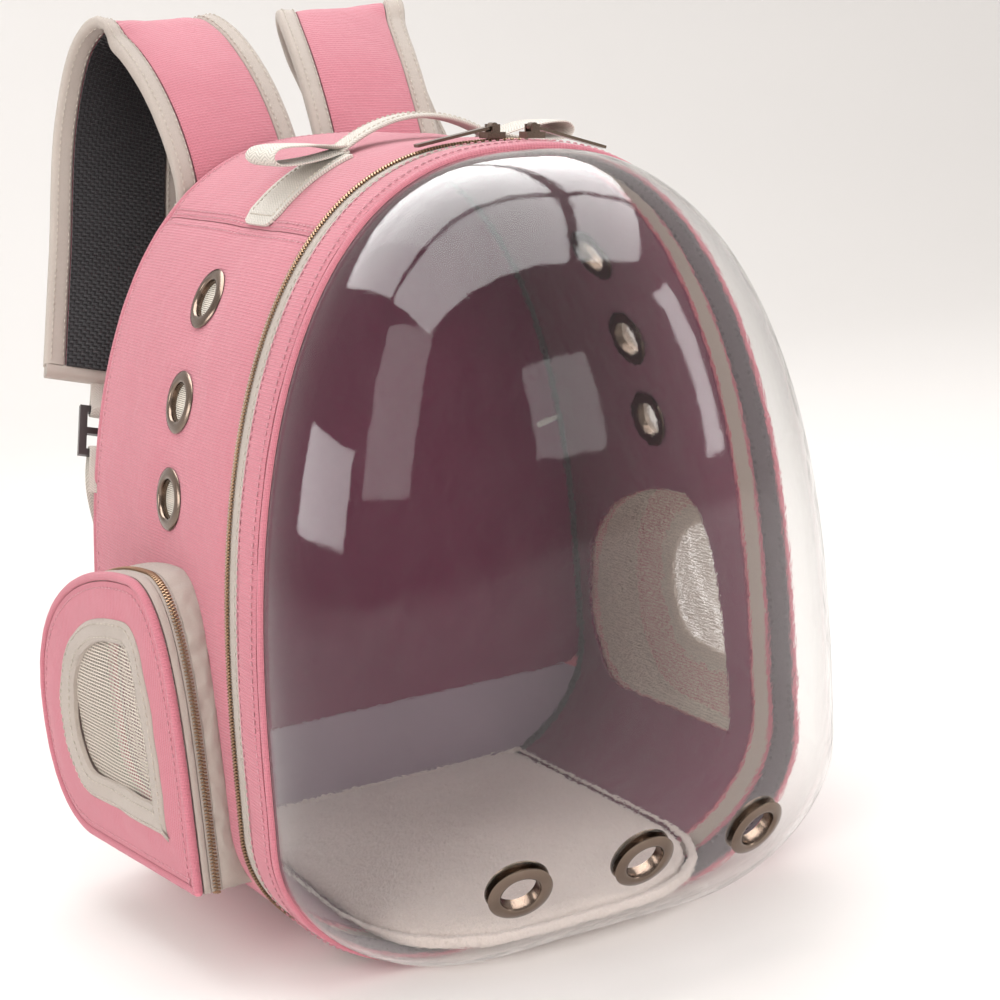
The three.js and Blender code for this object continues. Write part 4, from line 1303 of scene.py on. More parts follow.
def eyelet(
    name: str,
    origin: np.ndarray,
    outward: np.ndarray,
    wall: float,
    lift: float = 0.3,
) -> bpy.types.Object:
    """A plated eyelet with a rolled lip, a domed flange outside and a flat washer inside.

    Args:
        name: The object's name.
        origin: Middle of its hole on the wall's outer face.
        outward: The way out of the wall.
        wall: The wall's thickness.
        lift: Gap between the wall and the flange.

    Returns:
        The new object.
    """
    top = lift
    inner = -wall - 0.3
    profile = [
        (10.5, inner - 0.9), (10.5, top + 0.4), (10.9, top + 1.35), (11.9, top + 1.8), (13.2, top + 1.75),
        (15.2, top + 1.3), (16.7, top + 0.75), (17.1, top + 0.3), (16.7, top), (11.6, top),
        (11.6, inner), (16.8, inner), (17.1, inner - 0.5), (16.6, inner - 1.1), (11.4, inner - 1.3),
    ]
    return lathe(name, profile, origin, outward)


@dataclass
class Body:
    """Outer cloth: side and top panels, base, padded back and its piping, and the side eyelets."""

    finishes: Finishes
    front: float = -93.2
    back: float = 101.0
    cloth: float = 3.0
    seam_height: float = 385.0
    piping: float = 2.8
    back_face: float = 104.3
    heights: tuple[float, ...] = (349.0, 296.0, 245.0)
    depths: tuple[float, ...] = (-12.0, -13.0, -14.0)
    drill: float = 11.9

    def pressed(self, y: float, z: float) -> float:
        """How free the cloth is to puff out at a place.

        Args:
            y: Depth.
            z: Height.

        Returns:
            From 0 beside an eyelet or under the handle to 1.
        """
        free = max(0.0, min(1.0, (z - 4) / 30))
        for height, depth in zip(self.heights, self.depths):
            away = math.hypot(z - height, y - depth)
            free = min(free, max(0.0, min(1.0, (away - 17) / 16)))
        if z > self.seam_height - 12:
            free = min(free, max(0.15, min(1.0, (abs(y + 25) - 19) / 12)))
        return free

    def skin(self, travel: float, y: float) -> float:
        """How far the outer cloth stands out of the plain form.

        Args:
            travel: Distance along the body's line.
            y: Depth.

        Returns:
            Distance outward.
        """
        x, z, _, _ = ARCH.at(travel)
        edge = min(y - self.front, self.back - y)
        seam = abs(z - self.seam_height)
        puff = 1.9 * (1 - math.exp(-max(edge, 0) / 16))
        crease = 1.3 * ripple(x, y, z, 62, 3.1) + 0.6 * ripple(x, y * 0.6, z, 25, 1.7)
        puff = (puff + crease * min(1.0, max(edge, 0) / 18) - 0.4) * self.pressed(y, z)
        pull = 1.0 * math.exp(-((seam / 3.2) ** 2)) if z > 330 else 0.0
        return puff - pull

    def place(self, travel: float, y: float, out: float) -> tuple[float, float, float]:
        """Carries a point of the flat cut onto the body.

        Args:
            travel: Distance along the body's line.
            y: Depth.
            out: Distance outward.

        Returns:
            The point.
        """
        x, z, _, _ = ARCH.at(travel, self.skin(travel, y) + out)
        return (x, y, z)

    def drills(self, side: Side) -> list[np.ndarray]:
        """Outlines of the eyelet holes in the flat cut.

        Args:
            side: Which side.

        Returns:
            One loop for each eyelet.
        """
        turn = np.linspace(0, 2 * math.pi, 32, endpoint=False)
        loops = []
        for height, depth in zip(self.heights, self.depths):
            travel = ARCH.travel_at_height(height, side)
            loops.append(np.stack([
                travel + self.drill * np.cos(turn),
                depth + self.drill * np.sin(turn),
            ], axis=1))
        return loops

    def cut(self, start: float, end: float, step: float = CUT_STEP) -> np.ndarray:
        """A rectangle of cloth between two places along the body's line.

        Args:
            start: First distance along the line.
            end: Last distance.
            step: Spacing of the outline's points.

        Returns:
            The outline's points.
        """
        along = np.linspace(start, end, max(2, int((end - start) / step)))
        deep = np.linspace(self.front, self.back, int((self.back - self.front) / step))
        return np.vstack([
            [(a, self.front) for a in along],
            [(end, b) for b in deep[1:]],
            [(a, self.back) for a in along[::-1][1:]],
            [(start, b) for b in deep[::-1][1:-1]],
        ])

    def build(self, pods: dict[Side, Pod]) -> None:
        """Makes and dresses the outer cloth.

        Args:
            pods: The side pods, whose openings the side panels leave free.
        """
        seam = {side: ARCH.travel_at_height(self.seam_height, side) for side in Side}
        whole = ARCH.length
        spans = {Side.RIGHT: (BASE_ARC, seam[Side.RIGHT]), Side.LEFT: (seam[Side.LEFT], whole - BASE_ARC)}
        for side in Side:
            start, end = spans[side]
            holes = [*self.drills(side), pods[side].body_opening(11.0)]
            name = f"{side.word}_side_cloth"
            made = panel(name, self.cut(start, end), holes, CLOTH_STEP, self.place, self.cloth)
            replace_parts(made, f"{side.word}_side_panel")
            self.finishes.dress(made, "pink_fabric")
        top_cut = self.cut(seam[Side.RIGHT] + 2 * GAP, seam[Side.LEFT] - 2 * GAP)
        top = panel("top_cloth", top_cut, [], CLOTH_STEP, self.place, self.cloth)
        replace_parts(top, "top_panel")
        self.finishes.dress(top, "pink_fabric")
        base_cut = self.cut(-BASE_ARC + GAP, BASE_ARC - GAP)
        base = panel("base_cloth", base_cut, [], CUT_STEP, self.flat_place, self.cloth)
        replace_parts(base, "base_panel")
        self.finishes.dress(base, "pink_fabric")
        piping = cord_round("back_piping_cord", self.piping, self.piping, self.back + 0.3 + self.piping)
        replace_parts(piping, "back_piping")
        self.finishes.dress(piping, "pink_fabric")
        self.build_back()
        self.build_eyelets()
        self.build_seams(seam)

    def flat_place(self, travel: float, y: float, out: float) -> tuple[float, float, float]:
        """Carries a point of the base's cut onto the flat underside."""
        x, z, _, _ = ARCH.at(travel % ARCH.length, out)
        return (x, y, z)

    def build_back(self) -> None:
        """Makes the padded back with its sewn channels."""
        loop = ARCH.ring(-5.9, 0.0, 260)[:, [0, 2]]

        def place(x: float, z: float, out: float) -> tuple[float, float, float]:
            """Crowned pads between sewn channels, flat where straps and webbing are sewn on."""
            if out < 0:
                return (x, self.back_face + out, z)
            edge = np.min(np.hypot(loop[:, 0] - x, loop[:, 1] - z))
            channels = min(abs(abs(x) - 34), abs(z - 120), abs(z - 232)) if abs(x) < 100 else 99
            calm = max(0.0, min(1.0, (345 - z) / 30)) * max(0.0, min(1.0, (108 - abs(x)) / 14))
            puff = 4.5 * calm * (1 - math.exp(-edge / 18)) * (1 - 0.85 * math.exp(-((channels / 5) ** 2)))
            crease = 0.35 * ripple(x, 0, z, 30, 5.5) * calm
            return (x, self.back_face + puff + crease, z)

        made = panel("back_pad", loop, [], 6.0, place, self.cloth)
        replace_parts(made, "back_panel")
        self.finishes.dress(made, "pink_fabric")

    def eyelet_frame(self, side: Side, row: int) -> tuple[np.ndarray, np.ndarray]:
        """Where an eyelet sits.

        Args:
            side: Which side.
            row: Its number from the top.

        Returns:
            Its origin and outward way.
        """
        travel = ARCH.travel_at_height(self.heights[row], side)
        x, z, out_x, out_z = ARCH.at(travel)
        return np.array([x, self.depths[row], z]), unit(np.array([out_x, 0.0, out_z]))

    def build_eyelets(self) -> None:
        """Makes the eyelets of the side walls with a fine net in each."""
        turn = np.linspace(0, 2 * math.pi, 32, endpoint=False)
        circle = 10.9 * np.stack([np.cos(turn), np.sin(turn)], axis=1)
        for side in Side:
            for row in range(3):
                origin, outward = self.eyelet_frame(side, row)
                ring = eyelet(f"{side.word}_eyelet_{row + 1}", origin, outward, 4.5 + 1.2)
                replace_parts(ring, f"{side.word}_grommet_{row + 1}")
                self.finishes.dress(ring, "gunmetal")
                ahead = np.array([0.0, 1.0, 0.0])
                up = np.cross(outward, ahead)

                def place(a: float, b: float, _: float) -> np.ndarray:
                    """A point of the disc, a little hollow."""
                    sag = 0.4 * (1 - (a * a + b * b) / 119)
                    return origin + ahead * a + up * b - outward * (2.2 + sag)

                disc = panel(f"{side.word}_eyelet_net_{row + 1}", circle, [], 3.0, place, 0.0)
                self.finishes.dress(disc, "net", "net_fine")

    def build_seams(self, seam: dict[Side, float]) -> None:
        """Sews the double rows along the shoulder seams and round the back edge.

        Args:
            seam: Where the seams lie along the body's line.
        """
        rows = []
        for side in Side:
            for shift in (-5.5, -2.6, 4.4):
                travel = seam[side] + shift
                deep = np.linspace(self.front + 2, self.back - 2, 60)
                points = np.array([self.place(travel, y, 0.05) for y in deep])
                _, _, out_x, out_z = ARCH.at(travel)
                rows.append((points, np.tile([out_x, 0.0, out_z], (60, 1))))
        for y in (self.back - 4.2,):
            travel = np.linspace(BASE_ARC, ARCH.length - BASE_ARC, 500)
            points = np.array([self.place(t, y, 0.05) for t in travel])
            outward = np.array([(ARCH.at(t)[2], 0.0, ARCH.at(t)[3]) for t in travel])
            rows.append((points, outward))
        made = stitches("body_stitching", rows)
        self.finishes.dress(made, "pink_fabric", "thread_pink")


@dataclass
class Cabin:
    """Inside: wall lining, back lining, skirting, corner binding and the floor mat."""

    finishes: Finishes
    body: Body
    front: float = -93.2
    back: float = 93.7
    inset: float = 3.3
    thickness: float = 1.2

    def place(self, travel: float, y: float, out: float) -> tuple[float, float, float]:
        """Carries a point of the lining's cut onto the inner wall.

        Args:
            travel: Distance along the body's line.
            y: Depth.
            out: Distance outward.

        Returns:
            The point.
        """
        x, z, _, _ = ARCH.at(travel)
        calm = self.body.pressed(y, z)
        edge = max(0.0, min(1.0, min(y - self.front, self.back - y) / 16))
        fold = 1.5 * ripple(x, y, z, 46, 8.8) + 0.7 * ripple(x, y, z, 19, 4.2)
        sag = (0.8 + abs(fold)) * edge * calm
        x, z, _, _ = ARCH.at(travel, -self.inset - sag + out)
        return (x, y, z)

    def build(self, pods: dict[Side, Pod]) -> None:
        """Makes and dresses the inside.

        Args:
            pods: The side pods, whose openings the lining leaves free.
        """
        along = np.linspace(0.5, ARCH.length - 0.5, 170)
        deep = np.linspace(self.front, self.back, 22)
        outline = np.vstack([
            [(a, self.front) for a in along],
            [(along[-1], b) for b in deep[1:]],
            [(a, self.back) for a in along[::-1][1:]],
            [(along[0], b) for b in deep[::-1][1:-1]],
        ])
        holes = []
        for side in Side:
            holes += [*self.body.drills(side), pods[side].body_opening(10.0)]
        lining = panel("wall_lining", outline, holes, CLOTH_STEP, self.place, self.thickness)
        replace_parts(lining, "cabin_lining")
        self.finishes.dress(lining, "wine_lining")
        binding = band("corner_tape", 94.0, 101.0, lambda t, y: -self.inset, 1.9, crown=0.0)
        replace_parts(binding, "corner_binding")
        self.finishes.dress(binding, "grey_binding")
        loop = ARCH.ring(-5.7, 0.0, 260)[:, [0, 2]]
        for name, node, slot, low, high in (
            ("back_wall_lining", "back_lining", "wine_lining", 66.15, 500.0),
            ("back_wall_skirting", "back_skirting", "mauve_lining", 0.0, 65.85),
        ):
            part = loop[(loop[:, 1] > low + 0.5) & (loop[:, 1] < high - 0.5)]
            if low > 1:
                half = part[part[:, 0] > 0][0][0]
                bottom = np.stack([np.linspace(-half, half, 40), np.full(40, low)], axis=1)[1:-1]
                part = np.vstack([bottom, part])
            else:
                left = part[part[:, 0] < 0]
                right = part[part[:, 0] >= 0]
                edge = right[-1][0]
                top = np.stack([np.linspace(edge, -edge, 40), np.full(40, high)], axis=1)[1:-1]
                part = np.vstack([right, top, left])

            def place(x: float, z: float, out: float) -> tuple[float, float, float]:
                """Soft folds that stand into the cabin."""
                edge_gap = np.min(np.hypot(loop[:, 0] - x, loop[:, 1] - z))
                calm = min(1.0, edge_gap / 22) * min(1.0, abs(z - 66) / 12)
                fold = 2.4 * abs(ripple(x, 0, z, 55, 2.4)) + 1.0 * ripple(x, 0, z, 22, 6.4)
                return (x, 99.8 - max(0.0, fold) * calm - out, z)

            made = panel(name, part, [], 6.0, place, self.thickness)
            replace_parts(made, node)
            self.finishes.dress(made, slot)
        self.build_mat()
        rows = [ring_row(-self.inset - 1.9, 97.5)]
        rows = [(points, -ways) for points, ways in rows]
        self.finishes.dress(stitches("cabin_stitching", rows), "grey_binding", "grey_binding")

    def build_mat(self) -> None:
        """Makes the padded floor mat and its bound edge."""
        mat = pillow("mat_pad", "floor_mat", cell=0.0045, pressure=2.2, cap=0.0018)
        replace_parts(mat, "floor_mat")
        self.finishes.dress(mat, "mat_fabric")
        edge = pillow("mat_edge", "mat_binding", cell=0.0028, pressure=0.0, cap=0.001)
        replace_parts(edge, "mat_binding")
        self.finishes.dress(edge, "mat_fabric")


def pillow(name: str, node: str, cell: float, pressure: float, cap: float) -> bpy.types.Object:
    """Blows a plain solid up into soft cloth.

    Args:
        name: Name of the new piece.
        node: The frame's node it starts from.
        cell: Size of the remeshed faces in metres.
        pressure: Air pressure in the cloth, or 0 for smoothing alone.
        cap: How far a point may move, in metres.

    Returns:
        The soft piece.
    """
    source = bpy.data.objects[node]
    mesh = source.data.copy()
    mesh.transform(source.matrix_world)
    made = bpy.data.objects.new(name, mesh)
    bpy.context.scene.collection.objects.link(made)
    made.data.remesh_voxel_size = cell
    with bpy.context.temp_override(active_object=made, object=made, selected_objects=[made]):
        bpy.ops.object.voxel_remesh()
    rest = np.array([v.co for v in made.data.vertices])
    if pressure > 0:
        cloth = made.modifiers.new("Cloth", "CLOTH")
        cloth.settings.use_pressure = True
        cloth.settings.uniform_pressure_force = pressure
        cloth.settings.effector_weights.gravity = 0.0
        cloth.settings.quality = 4
        for frame_number in range(1, 21):
            bpy.context.scene.frame_set(frame_number)
        shaped = made.evaluated_get(bpy.context.evaluated_depsgraph_get())
        moved = np.array([v.co for v in shaped.data.vertices])
        made.modifiers.clear()
        bpy.context.scene.frame_set(1)
        shift = moved - rest
        far = np.linalg.norm(shift, axis=1, keepdims=True)
        rest = rest + shift * np.minimum(1.0, cap / np.maximum(far, 1e-9))
    made.data.vertices.foreach_set("co", rest.ravel())
    smooth = made.modifiers.new("Smooth", "SMOOTH")
    smooth.factor = 0.5
    smooth.iterations = 4
    rounder = made.modifiers.new("Subdivision", "SUBSURF")
    rounder.levels = rounder.render_levels = 1
    shaped = made.evaluated_get(bpy.context.evaluated_depsgraph_get())
    final = bpy.data.meshes.new_from_object(shaped)
    made.modifiers.clear()
    made.data = final
    made.data.polygons.foreach_set("use_smooth", [True] * len(made.data.polygons))
    return made


@dataclass
class Door:
    """Zipped front edge: tape, teeth, pink band, piping and inner binding."""

    finishes: Finishes
    body: Body
    tape_front: float = -108.5
    tape_back: float = -93.5
    teeth_y: float = -98.0
    band_front: float = -132.8
    band_back: float = -108.8
    piping: float = 2.0

    def build(self) -> None:
        """Makes and dresses the door's soft parts."""
        tape = band("zip_cloth", self.tape_front, self.tape_back, lambda t, y: -0.3, 1.4, crown=0.0)
        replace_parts(tape, "door_zip_tape")
        self.finishes.dress(tape, "beige_fabric")
        teeth = self.teeth(ARCH.length / 2, 1.75)
        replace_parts(teeth, "door_zip_teeth")
        self.finishes.dress(teeth, "zip_teeth")
        made = band("door_cloth", self.band_front, self.band_back, self.band_out, 2.2, rows=9, crown=0.9)
        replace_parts(made, "door_band")
        self.finishes.dress(made, "pink_fabric")
        cord = cord_round("door_cord", self.piping, self.piping, self.band_front - 0.3 - self.piping)
        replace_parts(cord, "door_piping")
        self.finishes.dress(cord, "pink_fabric")
        inner = band("door_inner_tape", -136.1, -116.1, lambda t, y: -4.3, 1.0, rows=7)
        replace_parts(inner, "door_inner_binding")
        self.finishes.dress(inner, "grey_binding")
        rows = [ring_row(0.75, self.band_front + 3.4), ring_row(0.75, self.band_back - 3.2)]
        self.finishes.dress(stitches("door_stitching", rows), "pink_fabric", "thread_pink")
        rows = [ring_row(-0.25, self.tape_front + 2.2), ring_row(-0.25, self.tape_back - 1.4)]
        self.finishes.dress(stitches("tape_stitching", rows, radius=0.3), "beige_fabric", "thread_beige")
        inner_rows = [ring_row(-5.35, y) for y in (-133.5, -119.0)]
        inner_rows = [(points, -ways) for points, ways in inner_rows]
        self.finishes.dress(stitches("inner_stitching", inner_rows), "grey_binding", "grey_binding")

    def band_out(self, travel: float, y: float) -> float:
        """How far out the band lies, with the ripples of a sewn strip."""
        wave = 0.35 * ripple(travel, y * 0.4, 0, 16, 3.3) + 0.4 * ripple(travel, y, 5, 48, 1.3)
        return -0.35 + wave

    def teeth(self, middle: float, pitch: float) -> bpy.types.Object:
        """Makes the two rows of coil teeth that lock over each other.

        Args:
            middle: Travel of the zip's top.
            pitch: Distance between two teeth of a row.

        Returns:
            The joined teeth.
        """
        boxes = []
        count = int((ARCH.length - 2 * BASE_ARC + 60) / pitch)
        for k in range(count):
            travel = middle + (k - count / 2) * pitch
            for row in (-1, 1):
                spot = travel + row * pitch / 4
                x, z, out_x, out_z = ARCH.at(spot, 0.55)
                outward = np.array([out_x, 0.0, out_z])
                along = np.array([-out_z, 0.0, out_x])
                origin = np.array([x, self.teeth_y + row * 0.8, z])
                boxes.append((origin, along * pitch * 0.21, np.array([0, 1.35, 0]), outward * 0.75))
        return blocks("zip_coil", boxes)


@dataclass
class Dome:
    """Clear moulded dome with its rim and three open eyelets."""

    finishes: Finishes
    inset: float = 2.5
    wall: float = 1.5
    rim_front: float = -137.1
    rim_back: float = -115.1
    depth: float = 118.0
    fullness: float = 2.1
    centre: float = 215.0
    eyelet_height: float = 66.0
    eyelet_spacing: float = 71.0
    rings: int = 44
    count: int = 240

    def shell(self, inset: float, depth: float) -> list[np.ndarray]:
        """Rings of one face of the dome, from its rim to near its middle.

        Args:
            inset: How far the rim lies inside the body's line.
            depth: How far the dome stands in front of its rim.

        Returns:
            The rings, each an array of points.
        """
        flat = ARCH.ring(-inset, 0.0, self.count)
        rings = []
        for y in (self.rim_back, (self.rim_back + self.rim_front) / 2):
            rings.append(flat + [0, y, 0])
        power = 2 / self.fullness
        for k in range(self.rings):
            turn = (k / self.rings) ** 0.92 * math.pi / 2
            share = math.cos(turn) ** power
            y = self.rim_front - depth * math.sin(turn) ** power
            ring = np.stack([
                flat[:, 0] * share,
                np.full(self.count, y),
                self.centre + (flat[:, 2] - self.centre) * share,
            ], axis=1)
            rings.append(ring)
        return rings

    def front_at(self, across: float, height: float) -> float:
        """Depth of the dome's outer face at a place in the front view.

        Args:
            across: Place across.
            height: Place up.

        Returns:
            The depth.
        """
        flat = ARCH.ring(-self.inset, 0.0, 1200)[:, [0, 2]] - [0, self.centre]
        angles = np.arctan2(flat[:, 1], flat[:, 0])
        order = np.argsort(angles)
        angle = math.atan2(height - self.centre, across)
        reach = np.interp(angle, angles[order], np.hypot(flat[:, 0], flat[:, 1])[order])
        share = math.hypot(across, height - self.centre) / reach
        return self.rim_front - self.depth * (1 - share**self.fullness) ** (1 / self.fullness)

    def eyelet_frame(self, across: float) -> tuple[np.ndarray, np.ndarray]:
        """Where an eyelet sits on the dome.

        Args:
            across: Its place across.

        Returns:
            Its origin and outward way.
        """
        reach = 6.0
        height = self.eyelet_height
        side = self.front_at(across + reach, height) - self.front_at(across - reach, height)
        rise = self.front_at(across, height + reach) - self.front_at(across, height - reach)
        outward = np.cross([2 * reach, side, 0.0], [0.0, rise, 2 * reach])
        origin = np.array([across, self.front_at(across, height), height])
        return origin, unit(outward)

    def build(self) -> None:
        """Makes and dresses the dome and its eyelets."""
        outer = self.shell(self.inset, self.depth)
        inner = self.shell(self.inset + self.wall, self.depth - self.wall)
        rings = [*inner[::-1], *outer]
        points = np.array(rings).reshape(-1, 3)
        faces = []
        for i in range(len(rings) - 1):
            for j in range(self.count):
                k = (j + 1) % self.count
                a, b = i * self.count, (i + 1) * self.count
                faces.append([a + j, b + j, b + k, a + k])
        tips = [[0, self.rim_front - self.depth + self.wall, self.centre],
                [0, self.rim_front - self.depth, self.centre]]
        points = np.vstack([points, tips])
        first, last = len(points) - 2, len(points) - 1
        end = (len(rings) - 1) * self.count
        for j in range(self.count):
            k = (j + 1) % self.count
            faces.append([first, j, k])
            faces.append([last, end + k, end + j])
        shell = new_object("dome_shell", points, faces, [], sharp=50)
        for row in (-1, 0, 1):
            origin, outward = self.eyelet_frame(row * self.eyelet_spacing)
            ring = eyelet(f"dome_eyelet_{row + 2}", origin, outward, self.wall + 2.4, lift=0.9)
            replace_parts(ring, f"bubble_grommet_{row + 2}")
            self.finishes.dress(ring, "gunmetal")
            drill = lathe("drill", [(0.01, -15), (11.9, -15), (11.9, 15), (0.01, 15)], origin, outward)
            cutter = shell.modifiers.new("Drill", "BOOLEAN")
            cutter.object = drill
            cutter.solver = "EXACT"
            shaped = shell.evaluated_get(bpy.context.evaluated_depsgraph_get())
            mesh = bpy.data.meshes.new_from_object(shaped)
            shell.modifiers.clear()
            shell.data = mesh
            bpy.data.objects.remove(drill)
        shell.data.polygons.foreach_set("use_smooth", [True] * len(shell.data.polygons))
        shell.data.set_sharp_from_angle(angle=math.radians(40))
        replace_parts(shell, "bubble")
        self.finishes.dress(shell, "clear_shell")


@dataclass
class Pod:
    """A zipped pod on one side: gusset, zip, wall, piping, face, window frame and nets."""

    finishes: Finishes
    body: Body
    side: Side
    front: float = -85.0
    rear: float = 92.0
    bottom: float = 49.0
    top: float = 212.0
    depth_front: float = 24.0
    depth_rear: float = 42.0
    wall: float = 2.0
    piping: float = 5.0
    zip_start: float = 0.36
    zip_end: float = 0.62
    window: float = 0.7
    net: float = 0.55
    count: int = 300
    curves: tuple[tuple[float, ...], ...] = (
        (0.0, 0.0, 0.03, 0.45, 0.02, 0.98, 0.27, 1.0),
        (0.27, 1.0, 0.61, 1.0, 1.0, 0.82, 1.0, 0.42),
        (1.0, 0.42, 1.0, 0.16, 0.89, 0.0, 0.7, 0.0),
        (0.7, 0.0, 0.5, 0.0, 0.2, 0.0, 0.0, 0.0),
    )

    @cached_property
    def base_loop(self) -> np.ndarray:
        """The pod's outline in the side view as depth and height, counter-clockwise."""
        points = []
        for row in self.curves:
            a, b, c, d = (np.array(row[k:k + 2]) for k in (0, 2, 4, 6))
            for t in np.linspace(0, 1, 80, endpoint=False):
                s = 1 - t
                points.append(s**3 * a + 3 * s * s * t * b + 3 * s * t * t * c + t**3 * d)
        size = [self.rear - self.front, self.top - self.bottom]
        flat = np.array(points) * size + [self.front, self.bottom]
        return resample(flat, self.count, closed=True)[::-1]

    @cached_property
    def ways_in(self) -> np.ndarray:
        """The way in at each point of the outline."""
        return inward_normals(self.base_loop)

    def outline(self, inset: float) -> np.ndarray:
        """The outline moved inward."""
        return self.base_loop + self.ways_in * inset

    def scaled(self, share: float) -> np.ndarray:
        """The piping's inner outline shrunk about the window's middle.

        Args:
            share: Its size as a share.

        Returns:
            The outline's points.
        """
        middle = np.array([
            (self.front + self.rear) / 2 - 10.0,
            (self.top + self.bottom) / 2 + self.wall,
        ])
        return (self.outline(self.piping) - middle) * share + middle

    def depth(self, y: float) -> float:
        """How far the face stands out of the body's widest line at a depth."""
        share = (y - self.front) / (self.rear - self.front)
        return self.depth_front + (self.depth_rear - self.depth_front) * share

    def body_opening(self, inset: float) -> np.ndarray:
        """The opening behind the pod in the body's flat cut.

        Args:
            inset: How far it lies inside the pod's outline.

        Returns:
            The opening's outline as travel and depth.
        """
        loop = resample(self.outline(inset), 120, closed=True)
        return np.array([(ARCH.travel_at_height(z, self.side), y) for y, z in loop])

    def skin_at(self, y: float, z: float) -> float:
        """Place across of the body's outer cloth at a depth and height."""
        travel = ARCH.travel_at_height(z, self.side)
        return abs(ARCH.at(travel, self.body.skin(travel, y))[0])

    def ring(
        self,
        name: str,
        inset: float,
        thickness: float,
        low: Callable[[float, float], float],
        high: Callable[[float, float], float],
        rows: int = 7,
        gather: float = 0.0,
        crown: float = 0.0,
    ) -> bpy.types.Object:
        """A wall of the pod that follows its outline.

        Args:
            name: The object's name.
            inset: How far its face lies inside the outline.
            thickness: Its thickness.
            low: Gives the place across of its body edge at a depth and height.
            high: Gives that of its outer edge.
            rows: Points across it.
            gather: Height of the gathers in it.
            crown: How far its middle stands out.

        Returns:
            The new object.
        """
        travel = np.concatenate([[0], np.cumsum(np.linalg.norm(np.diff(self.base_loop, axis=0), axis=1))])
        travel = np.append(travel, travel[-1] + 2)
        points, uv = [], []
        for i in range(self.count + 1):
            k = i % self.count
            y0, z0 = self.base_loop[k]
            near_front = max(0.0, min(1.0, (self.front + 75 - y0) / 60))
            line, flat = [], []
            for inner, order in ((0.0, range(rows)), (thickness, reversed(range(rows)))):
                for j in order:
                    share = j / (rows - 1)
                    fold = 0.0
                    if gather:
                        wave = ripple(travel[k], share * 4, 0, 5.5, 7.7)
                        wave += 0.5 * ripple(travel[k], share * 9, 3, 2.6, 1.1)
                        fold = gather * wave * (0.35 + near_front) * math.sin(math.pi * share) ** 0.6
                    swell = crown * (1 - (2 * share - 1) ** 2)
                    y, z = self.base_loop[k] + self.ways_in[k] * (inset + inner - fold - swell)
                    a, b = low(y0, z0), high(y0, z0)
                    line.append((self.side.value * (a + (b - a) * share), y, z))
                    flat.append((travel[i], (b - a) * share + inner * 4))
            points.append(line)
            uv.append([*flat, flat[0]])
        return grid(name, np.array(points[:-1]), np.array(uv), ring_rows=True, ring_cols=True)

    def across(self, y: float, share: float) -> float:
        """Place across at a share of the pod's depth."""
        return 165.0 + self.depth(y) * share

    def build(self) -> None:
        """Makes and dresses the pod."""
        word = self.side.word
        gusset = self.ring(
            f"{word}_gusset_cloth", 0.0, self.wall, lambda y, z: self.skin_at(y, z) - 0.6,
            lambda y, z: self.across(y, self.zip_start), rows=9, gather=1.5, crown=0.8)
        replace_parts(gusset, f"{word}_pod_gusset")
        self.finishes.dress(gusset, "beige_fabric")
        tape = self.ring(
            f"{word}_zip_cloth", 0.3, 1.4, lambda y, z: self.across(y, self.zip_start) + 0.1,
            lambda y, z: self.across(y, self.zip_end) - 0.1, rows=4)
        self.finishes.dress(tape, "beige_fabric")
        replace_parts(tape, f"{word}_pod_zip")
        self.finishes.dress(self.teeth(), "zip_teeth")
        wall = self.ring(
            f"{word}_wall_cloth", 0.0, self.wall, lambda y, z: self.across(y, self.zip_end) + 0.3,
            lambda y, z: 165.0 + self.depth(y) - self.piping - 0.3, rows=5, gather=0.5, crown=0.4)
        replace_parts(wall, f"{word}_pod_wall")
        self.finishes.dress(wall, "beige_fabric")
        self.finishes.dress(self.cord(), "pink_fabric")
        self.build_face()
        self.build_nets()

    def teeth(self) -> bpy.types.Object:
        """Makes the teeth of the pod's zip.

        Returns:
            The joined teeth.
        """
        pitch = 1.9
        loop = np.vstack([self.base_loop, self.base_loop[:1]])
        total = float(np.linalg.norm(np.diff(loop, axis=0), axis=1).sum())
        spots = resample(self.base_loop, int(total / pitch), closed=True)
        ways = inward_normals(spots)
        boxes = []
        middle = (self.zip_start + self.zip_end) / 2
        for k, (y, z) in enumerate(spots):
            inward = unit(ways[k])
            along = np.array([0.0, -inward[1], inward[0]])
            outward = np.array([0.0, -inward[0], -inward[1]])
            for row in (-1, 1):
                x = self.side.value * (self.across(y, middle) + row * 0.75)
                origin = np.array([x, y, z]) + outward * 0.3 + along * row * pitch / 4
                boxes.append((origin, along * pitch * 0.2, np.array([1.2, 0, 0]), outward * 0.75))
        return blocks(f"{self.side.word}_zip_coil", boxes)

    def cord(self) -> bpy.types.Object:
        """Makes the piping round the pod's face.

        Returns:
            The piping.
        """
        flat = self.outline(1.5)
        radius = self.piping / 2
        path = np.array([(self.side.value * (165.0 + self.depth(y) - radius), y, z) for y, z in flat])
        out = np.tile([float(self.side.value), 0.0, 0.0], (len(path), 1))
        ways = path_ways(path, out, closed=True)

        def section(i: int) -> list[tuple[float, float]]:
            """A slightly uneven circle."""
            swell = radius * (1 + 0.05 * ripple(i, 0, 1, 4))
            turns = np.linspace(0, 2 * math.pi, CORD_SIDES, endpoint=False)
            return [(swell * math.cos(t), swell * math.sin(t)) for t in turns]

        made = sweep(f"{self.side.word}_pod_cord", path, ways, section, closed=True)
        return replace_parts(made, f"{self.side.word}_pod_piping")

